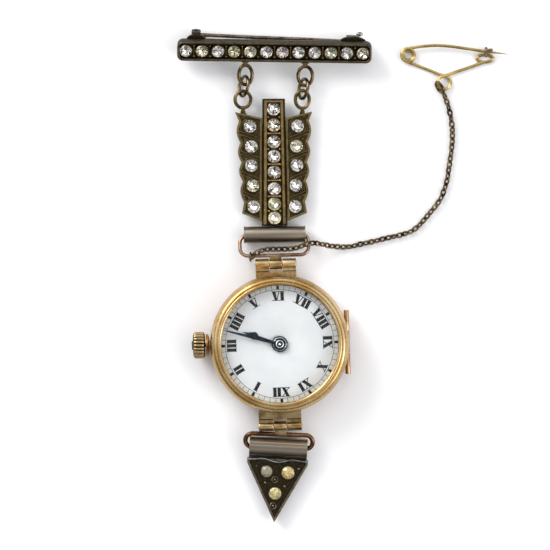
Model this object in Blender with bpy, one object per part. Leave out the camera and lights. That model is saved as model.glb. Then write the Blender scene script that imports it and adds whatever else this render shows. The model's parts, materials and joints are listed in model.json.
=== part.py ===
"""A ladies' fob watch on a paste-set bar brooch, lying flat on its back.

Every size and place below is in millimetres. solid() turns them into Blender's metres. The origin is on the
surface that the watch lies on, +Y runs towards the brooch and +Z out of the dial.
"""

import math

import bmesh
import bpy
import numpy as np
from mathutils import Euler, Matrix, Vector

MM = 0.001
TOUCH = 1e-4
GAP = 0.05
ORIGIN = (0.0, -0.0427, 0.0)

# Brooch bar. Its top edge is raised by its roll, because the pin's fittings hold it up.
BAR_CENTRE = (0.0, 46.52, 3.83)
BAR_LENGTH = 40.27
BAR_HEIGHT = 4.2
BAR_THICK = 2.7
BAR_ROLL = 20
BAR_TILT = -0.84
BAR_STONES = 12
BAR_STONE_PITCH = 3.335
BAR_STONE = 2.5
PIN_AXIS = (-16.3, 2.35, -3.0)
PIN_RADIUS = 0.4
PIN_TIP_X = 18.6
PIN_DROP = 0.75
CATCH_X = (14.9, 17.0)
CATCH_RADIUS = 1.1

# Soldered loops (centre, outer width, outer height) and the jump rings between them.
LOOP_WIRE = 0.4
BAR_LOOPS = {"left": ((-6.01, 41.62), 3.5, 4.8), "right": ((6.39, 41.4), 3.74, 4.7)}
PLAQUE_LOOPS = {"left": ((-6.38, 13.2), 4.0, 4.2), "right": ((5.95, 13.1), 3.6, 4.4)}
BAR_LOOP_SLOPE = 10
RING_CENTRES = {"left": (-6.36, 39.3, 2.3), "right": (6.0, 38.75, 2.3)}
RING_RADIUS = 2.07
RING_WIRE = 0.375
RING_LEAN = 25
RING_YAW = 9
BAR_LOOP_FOOT = (39.52, 2.3)
PLAQUE_LOOP_TOP = (38.3, 1.95)

# Plaque, in its own frame: y along the column.
PLAQUE_CENTRE = (-0.3, 23.4, 0.0)
PLAQUE_TILT = 0.5
COLUMN_ENDS = (-13.06, 13.3)
COLUMN_HALF = (2.67, 2.34)
COLUMN_Z = (1.1, 3.0)
WING_Z = (1.2, 2.4)
FEATHER_NOTCHES = (8.7, 4.2, 0.1, -3.8, -8.1)
FEATHER_BULGE = 0.62
CENTRE_STONES = (11.13, 7.8, 4.33, 1.33, -1.96, -5.39, -8.57, -11.45)
FOIL_CORNERS = ((-9.5, -0.5), (-9.5, 0.5), (8.0, 0.5), (8.0, -0.5))
SIDE_STONES = ((4.95, 7.6), (4.7, 3.4), (4.73, -0.55), (4.45, -4.7), (4.3, -9.1))
STONE = 2.6
STONE_HIGH = 0.85
TABLE_SHARE = 0.62
PLAQUE_TUBE = (0.04, 8.53, 1.9)
PLAQUE_TUBE_LENGTH = 12.77
PLAQUE_TUBE_RADIUS = 1.75
LINK_BORE = 1.15

# Watch, in its own frame: the case's centre at x = y = 0.
WATCH_CENTRE = (1.10, -14.14, 0.0)
WATCH_TILT = 1.6
CASE_RADIUS = 14.4
BEZEL_RADIUS = 14.25
DIAL_RADIUS = 12.75
SHOWN_RADIUS = 12.15
BACK_FLAT = 6.0
SPLIT_Z = 2.3
BAND_Z = (2.35, 5.5)
HINGE_X = -0.35
UPPER_HINGE_Y = 16.56
LOWER_HINGE_Y = -17.03
HINGE_Z = 3.6
UPPER_KNUCKLE = (8.4, 1.1)
LOWER_KNUCKLE = (8.9, 1.0)
HINGE_PIN = 0.4
BACK_HINGE = (14.0, 2.25)
BACK_HINGE_LENGTH = 13.3
BACK_KNUCKLE = 4.5
BACK_HINGE_RADIUS = 0.55
STEM_Y = 0.17
STEM_Z = 3.9
STEM_RADIUS = 0.45
CROWN_RADIUS = 2.775
CROWN_X = (-17.9, -15.45)
CROWN_TUBE_RADIUS = 1.0
STEM_BORE = 0.55
CROWN_FLUTES = 22
CROWN_FLUTE = 0.225

# Wire links: (half width, distance between the two runs, wire radius, corner radius).
UPPER_LINK = (7.12, 4.52, 0.375, 1.7)
LOWER_LINK = (6.97, 3.0, 0.475, 1.45)
KNUCKLE_HALF = 1.3
UPPER_LINK_SHIFT = -0.14
UPPER_RISE = 1.24
LOWER_LINK_TILT = -2.0
LOWER_LINK_CENTRE = (0.9, -35.78, 2.3)
LOWER_RISE = 0.85

# Drop, in its own frame: the tube's centre at x = y = 0.
DROP_CENTRE = (0.81, -35.76, 2.3)
DROP_TILT = -3.2
DROP_TUBE_LENGTH = 12.4
DROP_TUBE_RADIUS = 2.185
DROP_OUTLINE = ((-6.3, -2.9), (6.3, -2.9), (0.0, -15.45))
DROP_STONES = ((-2.15, -4.97, 2.1), (2.3, -5.02, 2.5), (-0.15, -9.47, 2.5))

# Movement. Each wheel: centre, teeth, module.
PLATE_Z = (4.4, 5.4)
BRIDGE_Z = (1.75, 2.25)
TOP_PIVOT = 4.36
LOW_PIVOT = 2.3
CENTRE_TEETH = 64
BARREL_TEETH = 64
CENTRE_LEAVES = 8
THIRD_TEETH = 60
THIRD_LEAVES = 8
FOURTH_TEETH = 60
FOURTH_LEAVES = 8
ESCAPE_TEETH = 15
ESCAPE_LEAVES = 6
RATCHET_TEETH = 32
CROWN_WHEEL_TEETH = 24
CANNON_LEAVES = 10
MINUTE_TEETH = 30
MINUTE_LEAVES = 8
HOUR_TEETH = 32
BARREL_MODULE = 0.165
CENTRE_MODULE = 0.125
THIRD_MODULE = 0.105
FOURTH_MODULE = 0.09
MOTION_MODULE = 0.1
BARREL_WAY = 125
THIRD_WAY = 20
FOURTH_WAY = -60
ESCAPE_WAY = -130
MINUTE_WAY = -90
CROWN_WHEEL_CENTRE = (-8.4, STEM_Y)
SETTING_PIVOT = (-9.0, -3.4)
PALLET_CENTRE = (1.84, -4.65)
PALLET_Z = (3.5, 3.65)
BALANCE_CENTRE = (-1.2, -6.4)
BALANCE_RADIUS = 3.6
MESH_SLACK = 0.25
# Each bridge: outline, places of its feet, radius of a foot.
BRIDGES = {
    "train_bridge": (
        (
            *((-1.1, 0.5), (-0.6, -1.1), (3.2, -4.9), (5, -4.9), (8.6, -6.1), (10.2, -5)),
            *((9, -1), (10.9, 2.9), (9.6, 4.3), (4, 2.9), (0.4, 1.2)),
        ),
        ((9.6, 2.9), (9, -5)),
        0.9,
    ),
    "barrel_bridge": (
        (
            *((-9.9, -1), (-7.2, -1.2), (-1.7, 1.9), (1, 2.9), (4.4, 9), (3.4, 10.8)),
            *((-1.5, 11.2), (-6.5, 9.2), (-10.9, 6.4), (-11.4, 2.5)),
        ),
        ((-9.8, 5.8), (3.1, 9.6)),
        0.8,
    ),
}

# Hands: angles from +X in the watch's frame.
MINUTE_ANGLE = 166.1 - WATCH_TILT
HOUR_ANGLE = 162.0 - WATCH_TILT
MINUTE_LENGTH = 11.95
MINUTE_TAPER = 11.0
HOUR_LENGTH = 8.1

# Safety chain, and the safety pin at its end.
CHAIN_RADIUS = 0.72
CHAIN_STEP = 2.4
CHAIN_ROUTE = (
    (-4.95, 3.55, 4.25),
    (-4.3, 4.2, 4.42),
    (-3.41, 4.8, 4.2),
    (-2.37, 5.3, 3.85),
    (-0.92, 5.42, 3.6),
    (1.79, 5.43, 3.5),
    (4.49, 5.64, 3.6),
    (6.09, 6.3, 3.8),
    (7.61, 6.73, 3.7),
    (9.61, 6.51, 2.7),
    (11.88, 6.05, 1.35),
    (13.6, 5.93, 0.8),
    (15.6, 5.94, 0.73),
    (17.95, 6.51, 0.73),
    (20.68, 7.07, 0.73),
    (22.92, 7.66, 0.73),
    (24.87, 8.09, 0.73),
    (26.75, 8.55, 0.73),
    (28.78, 9.31, 0.73),
    (30.5, 10.86, 0.73),
    (32.03, 12.67, 0.73),
    (33.3, 14.14, 0.73),
    (34.47, 15.74, 0.73),
    (35.21, 17.56, 0.73),
    (35.84, 19.57, 0.73),
    (36.23, 22.01, 0.73),
    (36.59, 24.54, 0.73),
    (36.9, 26.89, 0.73),
    (37.0, 29.22, 0.73),
    (36.85, 31.65, 0.73),
    (36.38, 34.22, 0.73),
    (35.75, 36.3, 0.73),
    (35.2, 37.75, 0.73),
)
PIN_WIRE = 0.3
PIN_COIL = (27.75, 45.82)
PIN_COIL_RADIUS = 1.34
PIN_LOOP = (35.26, 40.06)
PIN_EYE = (43.78, 45.14)
PIN_EYE_HALF = (1.68, 0.76)
PIN_HOOK_RADIUS = 0.67
PIN_STEM = (
    *((27.62, 47.15), (30.5, 47.58), (33.53, 47.8), (36.5, 47.62)),
    *((39.56, 47.2), (44, 46.55), (48.71, 45.97)),
)
PIN_LOW = 0.33
PIN_HIGH = 1.0


# Shapes, as closed meshes in millimetres


def polar(radius, degrees, centre=(0.0, 0.0)):
    """The point at this distance and angle from a centre."""
    angle = math.radians(degrees)
    return (centre[0] + radius * math.cos(angle), centre[1] + radius * math.sin(angle))


def arc(radius, start, end, steps, centre=(0.0, 0.0)):
    """Points along an arc, both ends included."""
    return [polar(radius, start + (end - start) * i / steps, centre) for i in range(steps + 1)]


def circle(radius, steps, centre=(0.0, 0.0)):
    """Points round a whole circle."""
    return arc(radius, 0, 360, steps, centre)[:-1]


def lathe(profile, steps=32, closed=True):
    """A turned shape about Z from (radius, height) points; open where both ends lie on the axis."""
    bm = bmesh.new()
    verts = [bm.verts.new((radius, 0, height)) for radius, height in profile]
    ends = verts[1:] + (verts[:1] if closed else [])
    edges = [bm.edges.new(pair) for pair in zip(verts, ends)]
    bmesh.ops.spin(
        bm, geom=verts + edges, axis=(0, 0, 1), cent=(0, 0, 0), angle=math.tau, steps=steps, use_merge=True
    )
    bmesh.ops.remove_doubles(bm, verts=bm.verts, dist=TOUCH)
    bmesh.ops.recalc_face_normals(bm, faces=bm.faces)
    return bm


def rod(radius, low, high, steps=10):
    """A plain cylinder about Z."""
    return lathe([(0, low), (radius, low), (radius, high), (0, high)], steps, closed=False)


def pipe(inner, outer, low, high, steps=20):
    """A hollow cylinder about Z."""
    return lathe([(inner, low), (outer, low), (outer, high), (inner, high)], steps)


def prism(outline, low, high, holes=()):
    """An outline in X and Y, with any holes, extruded from one height to another."""
    bm = bmesh.new()
    edges = []
    for loop in (outline, *holes):
        verts = [bm.verts.new((x, y, low)) for x, y in loop]
        edges += [bm.edges.new((verts[i - 1], verts[i])) for i in range(len(verts))]
    if holes:
        bmesh.ops.triangle_fill(bm, use_beauty=True, edges=edges)
    else:
        bm.faces.new(verts)
    made = bmesh.ops.extrude_face_region(bm, geom=bm.faces[:])["geom"]
    top = [item for item in made if isinstance(item, bmesh.types.BMVert)]
    bmesh.ops.translate(bm, vec=(0, 0, high - low), verts=top)
    bmesh.ops.recalc_face_normals(bm, faces=bm.faces)
    return bm


def box(low, high):
    """A block between two corners."""
    outline = [(low[0], low[1]), (high[0], low[1]), (high[0], high[1]), (low[0], high[1])]
    return prism(outline, low[2], high[2])


def sweep(path, radius, sides=6, closed=False):
    """A round wire along a list of points. radius is a number, or one for each point."""
    points = [Vector(point) for point in path]
    count = len(points)
    radii = radius if isinstance(radius, (list, tuple)) else [radius] * count
    bm = bmesh.new()
    rings = []
    across = None
    for i, point in enumerate(points):
        after = points[(i + 1) % count] if closed else points[min(i + 1, count - 1)]
        before = points[i - 1] if closed else points[max(i - 1, 0)]
        along = (after - before).normalized()
        start = across or (points[1] - points[0]).orthogonal()
        across = (start - along * start.dot(along)).normalized()
        up = along.cross(across)
        turns = [math.tau * (side + 0.5) / sides for side in range(sides)]
        ring = [point + (across * math.cos(t) + up * math.sin(t)) * radii[i] for t in turns]
        rings.append([bm.verts.new(place) for place in ring])
    for i in range(count if closed else count - 1):
        here, there = rings[i], rings[(i + 1) % count]
        for side in range(sides):
            bm.faces.new((here[side - 1], here[side], there[side], there[side - 1]))
    if not closed:
        bm.faces.new(rings[0])
        bm.faces.new(rings[-1])
    bmesh.ops.recalc_face_normals(bm, faces=bm.faces)
    return bm


def turned(bm, x=0, y=0, z=0):
    """The same mesh, rotated about the axes by degrees."""
    angles = Euler([math.radians(degrees) for degrees in (x, y, z)])
    bm.transform(angles.to_matrix().to_4x4())
    return bm


def moved(bm, x=0, y=0, z=0):
    """The same mesh, moved."""
    bm.transform(Matrix.Translation((x, y, z)))
    return bm


def along_x(bm, y=0, z=0):
    """A shape made about Z, laid about an axis along X: its heights become places along X."""
    return moved(turned(bm, y=90), 0, y, z)


def along_y(bm, x=0, z=0):
    """A shape made about Z, laid about an axis along Y: its heights become places along Y."""
    return moved(turned(bm, x=-90), x, 0, z)


def joined(meshes):
    """Separate closed shapes in one mesh, for one Boolean."""
    whole = bmesh.new()
    for bm in meshes:
        data = bpy.data.meshes.new("part")
        bm.to_mesh(data)
        bm.free()
        whole.from_mesh(data)
        bpy.data.meshes.remove(data)
    return whole


def gear(teeth, module, phase, low, high, bore=0.0, sharp=True):
    """A flat toothed wheel: two points for each tooth, or four for a pinion's blunt leaves."""
    pitch = teeth * module / 2
    root, tip = pitch - 0.95 * module, pitch + 0.8 * module
    shape = ((root, -0.5), (tip, 0.0)) if sharp else ((root, -0.3), (tip, -0.09), (tip, 0.09), (root, 0.3))
    step = 360 / teeth
    outline = [polar(radius, phase + step * (i + turn)) for i in range(teeth) for radius, turn in shape]
    return prism(outline, low, high, [circle(bore, 12)] if bore else ())


def mesh_phase(phase, teeth, other_teeth, way):
    """The angle of one tooth of a wheel that meshes with another wheel, which lies this way from it."""
    offset = (phase - way) * teeth / 360
    return way + 180 - (offset + 0.5) * 360 / other_teeth


# Objects


def clear_scene():
    for thing in list(bpy.data.objects):
        bpy.data.objects.remove(thing, do_unlink=True)


def finish(name, colour, metallic, roughness):
    """A plain material."""
    made = bpy.data.materials.new(name)
    made.use_nodes = True
    shader = made.node_tree.nodes["Principled BSDF"]
    shader.inputs["Base Color"].default_value = (*colour, 1)
    shader.inputs["Metallic"].default_value = metallic
    shader.inputs["Roughness"].default_value = roughness
    made.diffuse_color = (*colour, 1)
    return made


def frame_at(name, place, tilt=0.0, roll=0.0, parent=None):
    """An empty that groups pieces: tilt turns it in the plane of the dial, roll about its own X."""
    empty = bpy.data.objects.new(name, None)
    bpy.context.scene.collection.objects.link(empty)
    empty.parent = parent
    empty.location = Vector(place) * MM
    empty.rotation_euler = (math.radians(roll), 0, math.radians(tilt))
    return empty


def solid(bm, name, parent, look=None, at=(0, 0, 0), smooth=30):
    """The mesh, given in its parent's frame, as an object whose origin is at this place there."""
    bm.transform(Matrix.Scale(MM, 4) @ Matrix.Translation(-Vector(at)))
    data = bpy.data.meshes.new(name)
    bm.to_mesh(data)
    bm.free()
    made = bpy.data.objects.new(name, data)
    bpy.context.scene.collection.objects.link(made)
    made.parent = parent
    made.location = Vector(at) * MM
    if look:
        data.materials.append(look)
        data.shade_smooth()
        data.set_sharp_from_angle(angle=math.radians(smooth))
    return made


def combine(body, operation, bm, parent=None):
    """Adds or cuts away a shape, given in the frame of the body's parent, with a Boolean."""
    helper = solid(bm, body.name + "_" + operation.lower(), parent or body.parent)
    helper.hide_render = True
    helper.display_type = "WIRE"
    modifier = body.modifiers.new(operation.title(), "BOOLEAN")
    modifier.operation = operation
    modifier.solver = "EXACT"
    modifier.object = helper
    return body


def add(body, *meshes):
    for bm in meshes:
        combine(body, "UNION", bm)
    return body


def cut(body, *meshes):
    for bm in meshes:
        combine(body, "DIFFERENCE", bm)
    return body


# Brooch


def stone(x, y, low, diameter):
    """A low cut stone: girdle, sloping crown, flat table."""
    radius = diameter / 2
    profile = [(0, low), (radius, low), (radius * TABLE_SHARE, low + STONE_HIGH), (0, low + STONE_HIGH)]
    return moved(lathe(profile, 8, closed=False), x, y)


def oval(width, height, wire, steps=16):
    """The centre line of an upright oval loop, from its outer size."""
    across, up = width / 2 - wire, height / 2 - wire
    return [(across * math.cos(t), up * math.sin(t), 0) for t in turns_round(steps)]


def make_brooch(brooch, bar, looks):
    """The bar with its channel of stones, and the two loops soldered under its edge."""
    half, top = BAR_LENGTH / 2, BAR_HEIGHT / 2
    block = rounded_block(half, top, 1.25, -BAR_THICK / 2, BAR_THICK / 2)
    body = solid(block, "brooch_bar", bar, looks["dark"])
    cut(body, rounded_block(half - 0.35, top - 0.65, 0.8, BAR_THICK / 2 - 0.8, BAR_THICK))
    floor = BAR_THICK / 2 - 0.8 + GAP
    strip = box((-half + 1.2, -0.5, floor), (half - 1.2, 0.5, floor + 0.2))
    stones = solid(strip, "brooch_stones", bar, looks["paste"])
    places = [(i - (BAR_STONES - 1) / 2) * BAR_STONE_PITCH for i in range(BAR_STONES)]
    add(stones, joined(stone(x, 0, floor + 0.1, BAR_STONE) for x in places))
    for side, ((x, y), width, height) in BAR_LOOPS.items():
        loop = turned(sweep(oval(width, height, LOOP_WIRE), LOOP_WIRE, closed=True), x=BAR_LOOP_SLOPE)
        piece = solid(moved(loop, x, y, BAR_LOOP_FOOT[1] + 0.35), "bar_loop_" + side, brooch, looks["brass"])
        neck = turned(box((-1, 0, -0.55), (1, 2, 0.45)), x=BAR_LOOP_SLOPE)
        add(piece, moved(neck, x, y + height / 2 - 0.75, 3.0))
        beside = box((-half, -top - 0.04, -BAR_THICK), (half, top, BAR_THICK))
        combine(piece, "DIFFERENCE", beside, bar)
    make_pin_fittings(bar, looks)


def rounded_block(half_x, half_y, corner, low, high):
    """A flat bar with round corners, seen from the front."""
    outline = []
    for quarter, (x, y) in enumerate(((1, 1), (-1, 1), (-1, -1), (1, -1))):
        centre = (x * (half_x - corner), y * (half_y - corner))
        outline += arc(corner, 90 * quarter, 90 * quarter + 90, 4, centre)
    return prism(outline, low, high)


def make_pin_fittings(bar, looks):
    """The brooch pin's joint, rivet and stem. The pin swings away from the bar's back."""
    back = -BAR_THICK / 2 - 0.04
    x, y, z = PIN_AXIS
    joint = solid(box((x - 2.2, 0.2, back - 0.5), (x + 2.3, 3.0, back)), "pin_joint", bar, looks["dark"])
    for low in (y - 1.0, y + 0.55):
        add(joint, box((x - 0.95, low, z - 0.95), (x + 0.95, low + 0.45, back - 0.2)))
    add(joint, along_y(rod(0.3, y - 1.1, y + 1.1), x, z))
    pin = along_y(pipe(0.36, 0.85, y - 0.45, y + 0.45, 16), x, z)
    pin = solid(pin, "brooch_pin", bar, looks["steel"], PIN_AXIS)
    start = x + 0.6
    path = []
    for share in (0, 0.3, 0.6, 0.9, 1):
        path.append((start + (PIN_TIP_X - start) * share, y - PIN_DROP * math.sin(share * math.pi / 2), z))
    add(pin, sweep(path, [PIN_RADIUS, PIN_RADIUS, 0.38, 0.3, 0.08], 10))
    make_catch(bar, looks, y - PIN_DROP, z, back)


def make_catch(bar, looks, y, z, back):
    """A hook that is open away from the bar, and a turning collar that closes it."""
    low, high = CATCH_X
    catch = solid(box((low - 1.8, 0.2, back - 0.5), (high + 2.3, 2.9, back)), "bar_catch", bar, looks["dark"])
    add(catch, box((low, y - 0.7, z), (high, y + 0.7, back - 0.2)))
    add(catch, along_x(rod(CATCH_RADIUS, low, high, 16), y, z))
    slot = box((low - 1, y - 0.48, z - 3), (high + 1, y + 0.48, z))
    cut(catch, along_x(rod(0.48, low - 1, high + 1, 16), y, z), slot)
    collar = along_x(pipe(0.48, CATCH_RADIUS, high + GAP, high + 0.6, 20), y, z)
    place = (high, y, z)
    collar = solid(collar, "catch_lever", bar, looks["dark"], place)
    add(collar, box((high + 0.1, y + 0.7, z - 0.2), (high + 0.55, y + 1.9, z + 0.2)))
    cut(collar, box((high - 1, y - 0.48, z - 3), (high + 2, y + 0.48, z)))


def make_rings(brooch, looks):
    """The two jump rings that hold the plaque, each leaning where it hangs in its loops."""
    axis = frame_at("rings_axis", (0, *BAR_LOOP_FOOT), parent=brooch)
    for side, (x, y, z) in RING_CENTRES.items():
        path = [(0, RING_RADIUS * math.cos(t), RING_RADIUS * math.sin(t)) for t in turns_round(18)]
        ring = turned(sweep(path, RING_WIRE, closed=True), y=RING_LEAN)
        ring = moved(turned(ring, z=-RING_YAW), x, y - BAR_LOOP_FOOT[0], z - BAR_LOOP_FOOT[1])
        solid(ring, "ring_" + side, axis, looks["brass"])


def turns_round(steps):
    return [math.tau * i / steps for i in range(steps)]


# Plaque


def column_half(y):
    """The column's half width, which narrows a little towards the top."""
    low, high = COLUMN_ENDS
    share = (y - low) / (high - low)
    return COLUMN_HALF[0] + (COLUMN_HALF[1] - COLUMN_HALF[0]) * share


def notch_x(y):
    """How far out the feathered edge's notches lie."""
    return 6.76 + 0.055 * y


def wing_outline():
    """The right wing: pointed top corner, four bulging feathers, pointed bottom corner."""
    outline = [(column_half(-12.1) + GAP, -12.1), (6.75, -10.45)]
    notches = list(reversed(FEATHER_NOTCHES))
    for low, high in zip(notches, notches[1:]):
        for step in range(5):
            y = low + (high - low) * step / 5
            outline.append((notch_x(y) + FEATHER_BULGE * math.sin(math.pi * step / 5), y))
    outline += [(notch_x(notches[-1]), notches[-1]), (8.05, 10.6), (column_half(9.3) + GAP, 9.3)]
    return outline


def make_plaque(plaque, looks):
    """The column and its two feathered wings, each with its stones."""
    low, high = COLUMN_ENDS
    outline = [(-COLUMN_HALF[0], low), (COLUMN_HALF[0], low), (COLUMN_HALF[1], high), (-COLUMN_HALF[1], high)]
    channel = [(-1.75, low + 0.25), (1.75, low + 0.25), (1.6, high - 0.6), (-1.6, high - 0.6)]
    column = solid(prism(outline, *COLUMN_Z), "plaque_column", plaque, looks["dark"])
    floor = COLUMN_Z[1] - 0.75
    cut(column, prism(channel, floor, COLUMN_Z[1] + 1))
    strip = box((-0.5, low + 0.9, floor + GAP), (0.5, high - 1, floor + GAP + 0.2))
    stones = solid(strip, "stones_centre", plaque, looks["paste"])
    add(stones, joined(stone(0, y, floor + GAP + 0.1, STONE) for y in CENTRE_STONES))
    for side, sign in (("left", -1), ("right", 1)):
        edge = [(sign * x, y) for x, y in wing_outline()]
        wing = solid(prism(edge, *WING_Z), "wing_" + side, plaque, looks["dark"])
        (x, y), width, height = PLAQUE_LOOPS[side]
        loop = moved(sweep(oval(width, height, LOOP_WIRE), LOOP_WIRE, closed=True), x, y, PLAQUE_LOOP_TOP[1])
        add(wing, box((x - 0.9, 9.6, 1.5), (x + 0.9, y - height / 2 + 0.6, 2.3)), loop)
        base = WING_Z[1] + GAP
        backing = [(sign * (4.2 + 0.045 * y) + shift, y) for y, shift in FOIL_CORNERS]
        foil = solid(prism(backing, base, base + 0.2), "stones_" + side, plaque, looks["paste"])
        add(foil, joined(stone(sign * x, y, base + 0.1, STONE) for x, y in SIDE_STONES))


def make_plaque_tube(parent, looks):
    half = PLAQUE_TUBE_LENGTH / 2
    tube = along_x(pipe(LINK_BORE, PLAQUE_TUBE_RADIUS, -half, half))
    solid(tube, "plaque_tube", parent, looks["silver"])


# Wire links


def link_path(half, gap, corner, shift=0.0):
    """A link's centre line: one run along the axis y = 0, the other at y = -gap, with round corners."""
    centre_x, centre_y = half - corner, gap / 2 - corner
    path = []
    for quarter, (x, y) in enumerate(((1, 1), (-1, 1), (-1, -1), (1, -1))):
        centre = (x * centre_x + shift, y * centre_y - gap / 2)
        path += [(*point, 0) for point in arc(corner, 90 * quarter, 90 * quarter + 90, 5, centre)]
    return path


def make_links(upper, lower, looks):
    """The two wire links. Each one's frame has its origin on the axis of the tube that it turns in."""
    hinge = in_frame(upper_hinge_place(), PLAQUE_TUBE, WATCH_TILT)
    bm = wire_loop(UPPER_LINK, UPPER_RISE, UPPER_LINK_SHIFT)
    link = solid(bm, "upper_link", upper, looks["rose"])
    add_knuckle(link, hinge, UPPER_LINK[1], UPPER_RISE, UPPER_KNUCKLE[1], 0)
    hinge = in_frame(lower_hinge_place(), LOWER_LINK_CENTRE, LOWER_LINK_TILT + 180)
    bm = wire_loop(LOWER_LINK, LOWER_RISE, 0)
    link = solid(bm, "lower_link", lower, looks["rose"], hinge)
    add_knuckle(link, hinge, LOWER_LINK[1], LOWER_RISE, LOWER_KNUCKLE[1], WATCH_TILT - LOWER_LINK_TILT)


def wire_loop(size, rise, shift):
    """A closed wire that slopes up by rise from its run in the tube to its run at the hinge."""
    half, gap, wire, corner = size
    slope = math.degrees(math.asin(rise / gap))
    return turned(sweep(link_path(half, gap, corner, shift), wire, closed=True), x=-slope)


def add_knuckle(link, hinge, gap, rise, radius, turn):
    """The knuckle that is soldered to a link's outer run, with its bore."""
    x, y, z = hinge
    run = -math.sqrt(gap * gap - rise * rise)
    middle = (z + rise) / 2
    add(link, box((x - KNUCKLE_HALF + 0.1, y, middle - 0.3), (x + KNUCKLE_HALF - 0.1, run, middle + 0.35)))
    add(link, moved(turned(along_x(rod(radius, -KNUCKLE_HALF, KNUCKLE_HALF, 16)), z=turn), x, y, z))
    bore = rod(HINGE_PIN + GAP, -2 * KNUCKLE_HALF, 2 * KNUCKLE_HALF, 16)
    cut(link, moved(turned(along_x(bore), z=turn), x, y, z))


def in_frame(place, origin, tilt):
    """A world place in the frame of a tilted empty."""
    offset = Vector(place) - Vector(origin)
    return tuple(Matrix.Rotation(math.radians(-tilt), 3, "Z") @ offset)


def watch_place(x, y, z):
    """A place in the watch's frame, in the world."""
    return Matrix.Rotation(math.radians(WATCH_TILT), 3, "Z") @ Vector((x, y, z)) + Vector(WATCH_CENTRE)


def upper_hinge_place():
    return watch_place(HINGE_X, UPPER_HINGE_Y, HINGE_Z)


def lower_hinge_place():
    return watch_place(HINGE_X, LOWER_HINGE_Y, HINGE_Z)


# Watch case


def make_case(watch, looks):
    """The case band with its lugs, the hinge pins, and the halves of the back hinge."""
    low, high = BAND_Z
    inner, outer = CASE_RADIUS - 1.4, CASE_RADIUS
    profile = [(inner, low), (outer - 0.3, low), (outer, low + 0.6), (outer, high - 0.5), (outer - 0.3, high)]
    band = solid(lathe(profile + [(inner, high)], 40), "case_band", watch, looks["gold"])
    for name, side, y, knuckle in (
        ("upper_hinge_pin", 1, UPPER_HINGE_Y, UPPER_KNUCKLE),
        ("lower_hinge_pin", -1, LOWER_HINGE_Y, LOWER_KNUCKLE),
    ):
        add_lug(band, side, y, *knuckle)
        end = knuckle[0] / 2 + 0.1
        pin = moved(along_x(rod(HINGE_PIN, -end, end), y, HINGE_Z), HINGE_X)
        solid(pin, name, watch, looks["gold"])
    cut(band, along_x(rod(CROWN_TUBE_RADIUS + GAP, -20, -10, 20), STEM_Y, STEM_Z))
    x, z = BACK_HINGE
    middle = BACK_KNUCKLE / 2
    reach = BACK_HINGE_LENGTH / 2
    cut(band, along_y(rod(BACK_HINGE_RADIUS + 0.08, -middle - GAP, middle + GAP, 16), x, z))
    for start, end in ((-reach, -middle - GAP), (middle + GAP, reach)):
        add(band, along_y(rod(BACK_HINGE_RADIUS, start, end, 16), x, z))
    cut(band, along_y(rod(0.27, -reach - 1, reach + 1), x, z))
    solid(along_y(rod(0.22, -reach, reach), x, z), "case_hinge_pin", watch, looks["gold"])
    make_case_back(watch, looks)
    make_front(watch, looks)


def add_lug(band, side, y, width, radius):
    """A lug with its two outer knuckles and their bore."""
    low, high = HINGE_Z - 0.65, HINGE_Z + 0.65
    half = width / 2
    root, shoulder = side * (CASE_RADIUS - 0.9), y - side * (radius + 0.28)
    add(band, box((HINGE_X - half, root, low), (HINGE_X + half, shoulder, high)))
    for start, end in ((-half, -KNUCKLE_HALF - 0.1), (KNUCKLE_HALF + 0.1, half)):
        add(band, box((HINGE_X + start, shoulder - side * 0.3, low), (HINGE_X + end, y, high)))
        add(band, moved(along_x(rod(radius, start, end, 16), y, HINGE_Z), HINGE_X))
    cut(band, moved(along_x(rod(HINGE_PIN + GAP, -half - 1, half + 1), y, HINGE_Z), HINGE_X))


def make_case_back(watch, looks):
    """The hinged back: a shallow dome with a flat centre that the watch rests on."""
    rim = BEZEL_RADIUS
    outside = [(0, 0), (BACK_FLAT, 0), (9.5, 0.28), (12.3, 0.95), (13.7, 1.65), (rim, 2.1), (rim, SPLIT_Z)]
    inside = [(13.7, SPLIT_Z), (13.2, 1.9), (11.9, 1.35), (9.3, 0.75), (BACK_FLAT, 0.45), (0, 0.45)]
    x, z = BACK_HINGE
    middle = BACK_KNUCKLE / 2
    back = lathe(outside + inside, 36, closed=False)
    back = solid(back, "case_back", watch, looks["gold"], (x, 0, z))
    cut(back, box((x - 0.75, -10, -1), (x + 2, 10, 4)))
    add(back, box((x - 1.1, -middle + GAP, 1.3), (x, middle - GAP, 1.95)))
    add(back, along_y(rod(BACK_HINGE_RADIUS, -middle + GAP, middle - GAP, 16), x, z))
    cut(back, along_y(rod(0.27, -3, 3), x, z))


def make_front(watch, looks):
    """Bezel, crystal, dial and hands."""
    outside = [(13.1, 5.6), (14.05, 5.6), (BEZEL_RADIUS, 6.3), (14.15, 7.3), (13.8, 8.1), (13.2, 8.45)]
    inside = [(12.5, 8.2), (SHOWN_RADIUS, 7.75), (SHOWN_RADIUS, 6.15), (13.1, 6.15)]
    solid(lathe(outside + inside, 40), "bezel", watch, looks["gold"])
    edge = SHOWN_RADIUS - GAP
    dome = [(0, 9.1), (5, 8.88), (9, 8.35), (edge, 7.65), (edge, 7.3)]
    hollow = [(edge - 0.3, 7.3), (9, 7.8), (5, 8.28), (0, 8.5)]
    solid(lathe(dome + hollow, 40, closed=False), "crystal", watch, looks["glass"])
    solid(pipe(0.8, DIAL_RADIUS, 5.65, 6.05, 40), "dial", watch, looks["enamel"])


def hand_outline(boss, edge):
    """A hand along +X: edge holds its (distance, half width) points out to the tip."""
    other_side = [(x, -half) for x, half in reversed(edge) if half]
    side = math.degrees(math.atan2(edge[0][1], edge[0][0]))
    return edge + other_side + arc(boss, -side - 20, side - 340, 14)


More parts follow.
